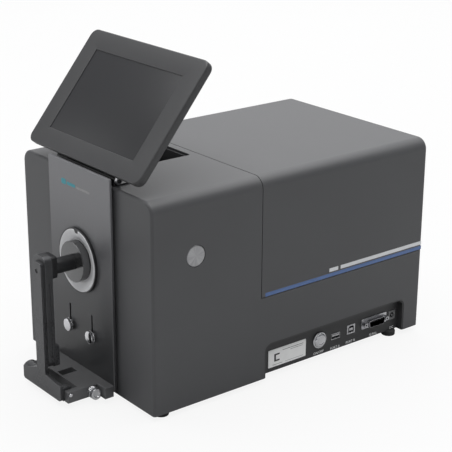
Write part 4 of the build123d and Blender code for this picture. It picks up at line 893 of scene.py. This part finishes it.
def makePivot():
    # a silver pin with domed ends, and the black sleeve round its middle
    core, thin = port["core"], port["stem"]
    low, high, middle = boxMiddle("pivot_pin")
    points = np.array([v.co for v in frame["nodes"]["pivot_pin"].data.vertices])
    fromAxis = np.hypot(points[:, 1] - middle.y, points[:, 2] - middle.z)
    thick = fromAxis.max()
    sleeve = points[fromAxis > 0.7 * thick, 0]
    length = high.x - low.x
    corners = [(0, core), (0, thin), (length, thin), (length, core)]
    profile = softened(corners, [0, 0.6 * mm, 0.6 * mm, 0], 6, closed=False)
    pin = turned(profile, (low.x, middle.y, middle.z), (1, 0, 0), 40)
    place(linkMesh("pivotPin", *pin, "silver", 40.0), bodyOf("pivot_pin"), "silver", "pivot_pin")
    length = sleeve.max() - sleeve.min()
    corners = [(0, thin), (0, thick), (length, thick), (length, thin)]
    profile = softened(corners, [0.1 * mm, 0.5 * mm, 0.5 * mm, 0.1 * mm], 5)
    tube = turned(profile, (sleeve.min(), middle.y, middle.z), (1, 0, 0), 56, ring=True)
    place(linkMesh("pivotSleeve", *tube, "blackMetal", 40.0), bodyOf("pivot_pin"), "black_metal")


makePad()
makeRod()
makePivot()
print("port and press made")

# ---- knurled screws, button and feet

rest = {
    "nut": (9.0 * mm, 0.8 * mm, 2.8 * mm, 0.3 * mm),    # side, corner radius, thickness, rounded rim
    "stud": 1.45 * mm,
    "washer": (5.8 * mm, 1.1 * mm),                     # radius, thickness
    "radius": 7.0 * mm,
    "headStart": 1.3 * mm,
    "headEnd": 5.5 * mm,
    "dome": 0.9 * mm,
    "knurl": (30, 0.45 * mm, 2.1 * mm, 4.7 * mm),       # count, depth, first and last station
}


def makeRest(node, name):
    # square nut, stud, washer and a domed knurled head
    low, high, middle = boxMiddle(node)
    behind, face = (middle.x, high.y, middle.z), (middle.x, panelBox[0].y, middle.z)
    side, corner, thickness, rim = rest["nut"]
    plane = (behind, (1, 0, 0), (0, 0, 1), (0, -1, 0))
    nut = slab(roundedBox(side, side, corner), 0.0, thickness, rim, plane)
    core, stud = 0.6 * mm, rest["stud"]
    reach = high.y - panelBox[0].y + 1.4 * mm
    shaft = turned([(0.2 * mm, core), (0.2 * mm, stud), (reach, stud), (reach, core)], behind, (0, -1, 0), 24)
    core = 0.4 * mm
    wide, thickness = rest["washer"]
    corners = [(0, core), (0, wide), (thickness, wide), (thickness, core)]
    washer = turned(softened(corners, [0, rim, rim, 0], 4, closed=False), face, (0, -1, 0), 48)
    start, end, radius, dome = rest["headStart"], rest["headEnd"], rest["radius"], rest["dome"]
    corners = [(start, core), (start, radius - 0.4 * mm), (start + 0.7 * mm, radius),
               (end - 0.6 * mm, radius), (end - 0.3 * dome, radius - 1.0 * mm),
               (end + 0.35 * dome, radius * 0.5), (end + 0.6 * dome, 0.3 * mm)]
    radii = [0, 0.2 * mm, 0.3 * mm, 0.5 * mm, 0.4 * mm, 1.2 * mm, 0]
    head = turned(softened(corners, radii, 5, closed=False), face, (0, -1, 0), 180, rest["knurl"])
    made = linkMesh(name, *joinShells([nut, shaft, washer, head]), "silver", 38.0)
    return place(made, bodyOf(node), "silver", node)


lock = {
    "stem": 2.0 * mm,
    "disc": 4.0 * mm,
    "waist": (1.6 * mm, 1.4 * mm),                      # depth, length
    "grip": 3.4 * mm,
    "dish": 0.5 * mm,
    "edge": 0.55 * mm,
    "knurl": (26, 0.3 * mm),                            # count, depth
}


def makeLock():
    # a stem and two knurled discs with a waist between them
    low, high, middle = boxMiddle("stage_lock")
    radius, stem, fine = (high.z - low.z) / 2, lock["stem"], 0.2 * mm
    deep, waist = lock["waist"]
    end = high.x - low.x
    grip = end - lock["grip"]
    disc = grip - waist
    first = disc - lock["disc"]
    corners = [(0, fine), (0, stem), (first, stem), (first, radius), (disc, radius), (disc, radius - deep),
               (grip, radius - deep), (grip, radius), (end, radius),
               (end, radius * 0.55), (end - lock["dish"], radius * 0.5), (end - lock["dish"], fine)]
    edge = lock["edge"]
    radii = [0, 0.3 * mm, fine, edge, edge, fine, fine, edge, edge, fine, fine, 0]
    knurl = (*lock["knurl"], first + 0.5 * mm, end - 0.5 * mm)
    profile = softened(corners, radii, 5, closed=False)
    shell = turned(profile, (low.x, middle.y, middle.z), (1, 0, 0), 156, knurl)
    return place(linkMesh("stageLock", *shell, "silver", 38.0), bodyOf("stage_lock"), "silver", "stage_lock")


def makeButton():
    # a bevelled push button with a shallow dish and a raised centre ring
    low, high, middle = boxMiddle("button_cap")
    radius, depth = (high.z - low.z) / 2, high.x - low.x
    corners = [(0, 0.2 * mm), (0, radius), (depth - 1.4 * mm, radius), (depth, radius - 1.7 * mm),
               (depth - 0.1 * mm, radius * 0.62), (depth - 0.5 * mm, radius * 0.55),
               (depth - 0.7 * mm, 0.2 * mm)]
    radii = [0, 0.2 * mm, 0.5 * mm, 0.5 * mm, 0.2 * mm, 0.5 * mm, 0]
    shell = turned(softened(corners, radii, 6, closed=False), (low.x, middle.y, middle.z), (1, 0, 0), 96)
    return place(linkMesh("buttonCap", *shell, "silver", 38.0), bodyOf("button_cap"), "silver", "button_cap")


def makeFeet():
    # each foot: a flared pad with a rounded lower rim and a recess in its sole
    low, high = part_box("rubber_feet")
    radius, recess, fine = 8.0 * mm, 0.9 * mm, 0.2 * mm
    corners = [(recess, fine), (recess, radius * 0.5), (0, radius * 0.6), (0, radius),
               (high.z * 0.8, radius), (high.z, radius - 0.6 * mm), (high.z, fine)]
    profile = softened(corners, [0, fine, fine, 0.9 * mm, 0.3 * mm, fine, 0], 5, closed=False)
    shells = [turned(profile, (x, y, 0), (0, 0, 1), 56)
              for x in (low.x + radius, high.x - radius) for y in (low.y + radius, high.y - radius)]
    made = linkMesh("rubberFeet", *joinShells(shells), "rubber", 45.0)
    return place(made, bodyOf("rubber_feet"), "rubber", "rubber_feet")


coverScrew = {
    "shank": 1.5 * mm,
    "shankLength": 5.0 * mm,
    "head": 3.5 * mm,
    "core": 0.3 * mm,
    "recess": (0.8 * mm, 1.75 * mm, 0.15 * mm),         # raised quarters: start, end, rounded rim
    "quarter": [(0.45, 0.45), (2.3, 0.45), (1.65, 1.65), (0.45, 2.3)],
}


def makeCoverScrews():
    # pan heads on the back wall, each with a cross recess left by four raised quarters
    low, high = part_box("cover_screws")
    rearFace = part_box("rear_cover")[1].y
    shank, core, wide = coverScrew["shank"], coverScrew["core"], coverScrew["head"]
    quarter = softened(coverScrew["quarter"], 0.15, 4) * mm
    back = -coverScrew["shankLength"]
    corners = [(0, wide), (1.0 * mm, wide), (1.3 * mm, 2.6 * mm), (1.3 * mm, core)]
    head = softened(corners, [0.1 * mm, 0.4 * mm, 0.3 * mm, 0], 4)
    profile = np.concatenate([[(back, core), (back, shank), (0, shank)], head[:-4], [(1.0 * mm, core)]])
    shells = []
    for x in (low.x + shank, high.x - shank):
        for z in (low.z + shank, high.z - shank):
            shells.append(turned(profile, (x, rearFace, z), (0, 1, 0), 40))
            plane = ((x, rearFace, z), (-1, 0, 0), (0, 0, 1), (0, 1, 0))
            for angle in np.arange(4) * math.pi / 2:
                c, s = math.cos(angle), math.sin(angle)
                shells.append(slab(quarter @ np.array([(c, s), (-s, c)]), *coverScrew["recess"], plane, 3))
    made = linkMesh("coverScrews", *joinShells(shells), "steel", 38.0)
    return place(made, bodyOf("cover_screws"), "steel", "cover_screws")


makeRest("rest_left", "restLeft")
makeRest("rest_right", "restRight")
makeLock()
makeButton()
makeFeet()
makeCoverScrews()
print("screws, button and feet made")

# ---- printing: plain marks and generic words

marks = {
    "thickness": 0.08 * mm,
    "thin": 0.05 * mm,
    "wordHeight": 4.2 * mm,
    # word: centre along the side and height above the bench, in millimetres
    "words": {
        "ON/OFF": (69.5, 8.9),
        "PORT A": (94.5, 8.2),
        "PORT B": (118.0, 8.9),
        "SERIAL": (154.0, 8.4),
        "DC": (183.5, 8.6),
    },
    # bars: centre across, centre up, width, height, in millimetres; on the label from its middle
    "labelLines": [(8, 6.5, 30, 0.7), (13, 4.4, 18, 0.5), (-14, -8, 14, 0.5), (10, -8, 26, 0.35)],
    "labelMark": [(-17.5, 0, 2.4, 9), (-14, 3.6, 6, 1.8), (-14, -3.6, 6, 1.8)],
    # on the panel from the port's axis and the bench
    "tealMark": [(-25, 219.6, 9, 6), (-11, 219.2, 16, 3.4)],
    "greyMark": [(11, 218.8, 26, 2.6)],
}
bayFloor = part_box("label_plate")[0].x


def makeWords():
    # raised words on the bay's floor below their sockets
    for word, (y, z) in marks["words"].items():
        data = bpy.data.curves.new("word", "FONT")
        data.body, data.size, data.extrude = word, marks["wordHeight"], marks["thickness"] / 2
        data.align_x, data.align_y = "CENTER", "CENTER"
        data.resolution_u = 3
        text = bpy.data.objects.new("word", data)
        bpy.context.scene.collection.objects.link(text)
        bpy.context.view_layer.update()
        mesh = bpy.data.meshes.new_from_object(text.evaluated_get(bpy.context.evaluated_depsgraph_get()))
        bpy.data.objects.remove(text)
        x = bayFloor + marks["thickness"] / 2
        mesh.transform(Matrix(((0, 0, 1, x), (1, 0, 0, y * mm), (0, 1, 0, z * mm), (0, 0, 0, 1))))
        mesh.materials.clear()
        mesh.materials.append(finishes["print"])
        name = "word" + "".join(c for c in word.title() if c.isalpha())
        made = bpy.data.objects.new(name, mesh)
        bpy.context.scene.collection.objects.link(made)
        place(made, "instrument", "label_white")


def makeBars(name, plane, thickness, material):
    # thin rounded bars side by side on a plane
    shells = []
    for u, v, w, h in np.array(marks[name], float) * mm:
        bar = roundedBox(w, h, min(w, h) * 0.3, 4) + np.array([u, v])
        shells.append(slab(bar, 0.0, thickness, thickness * 0.2, plane, 2))
    return linkMesh(name, *joinShells(shells), material)


def makeLabel():
    # ruled lines and a plain square mark on the blank rating plate
    low, high, middle = boxMiddle("label_plate")
    plane = ((high.x, middle.y, middle.z), (0, 1, 0), (0, 0, 1), (1, 0, 0))
    place(makeBars("labelLines", plane, marks["thin"], "greyPrint"), "instrument", "label_white")
    place(makeBars("labelMark", plane, marks["thin"], "blackPrint"), "instrument", "label_white")


def makePanelMark():
    # a short teal bar and a grey one beside it on the panel's upper part
    plane = ((portCentre.x, panelBox[0].y, 0), (1, 0, 0), (0, 0, 1), (0, -1, 0))
    place(makeBars("tealMark", plane, marks["thickness"], "teal"), "instrument", "stripe_blue")
    place(makeBars("greyMark", plane, marks["thickness"], "greyPrint"), "instrument", "label_white")


makeWords()
makeLabel()
makePanelMark()
print("printing made")

# ---- floor

floorMesh = bpy.data.meshes.new("floor")
half = studio["floorSize"] / 2
corners = [(-half, -half, 0), (half, -half, 0), (half, half, 0), (-half, half, 0)]
floorMesh.from_pydata(corners, [], [(0, 1, 2, 3)])
floorColour = studio["floorColour"]
paler = tuple(0.985 * c for c in floorColour)
floorPaint = finishOf("floorPaint", floorColour, paler, 0.7, mottle=3.0, grain=300.0, spread=0.05)
floorMesh.materials.append(floorPaint)
floorTree = floorMesh.materials[0].node_tree
# white where it is seen directly, so that it meets the backdrop
glow = floorTree.nodes.new("ShaderNodeEmission")
seen = floorTree.nodes.new("ShaderNodeLightPath")
amount = floorTree.nodes.new("ShaderNodeMath")
mixed = floorTree.nodes.new("ShaderNodeMixShader")
amount.operation = "MULTIPLY"
amount.inputs[1].default_value = studio["floorGlow"]
floorTree.links.new(seen.outputs["Is Camera Ray"], amount.inputs[0])
floorTree.links.new(amount.outputs[0], mixed.inputs[0])
floorTree.links.new(floorTree.nodes["Principled BSDF"].outputs[0], mixed.inputs[1])
floorTree.links.new(glow.outputs[0], mixed.inputs[2])
floorTree.links.new(mixed.outputs[0], floorTree.nodes["Material Output"].inputs["Surface"])
floor = bpy.data.objects.new("floor", floorMesh)
bpy.context.scene.collection.objects.link(floor)
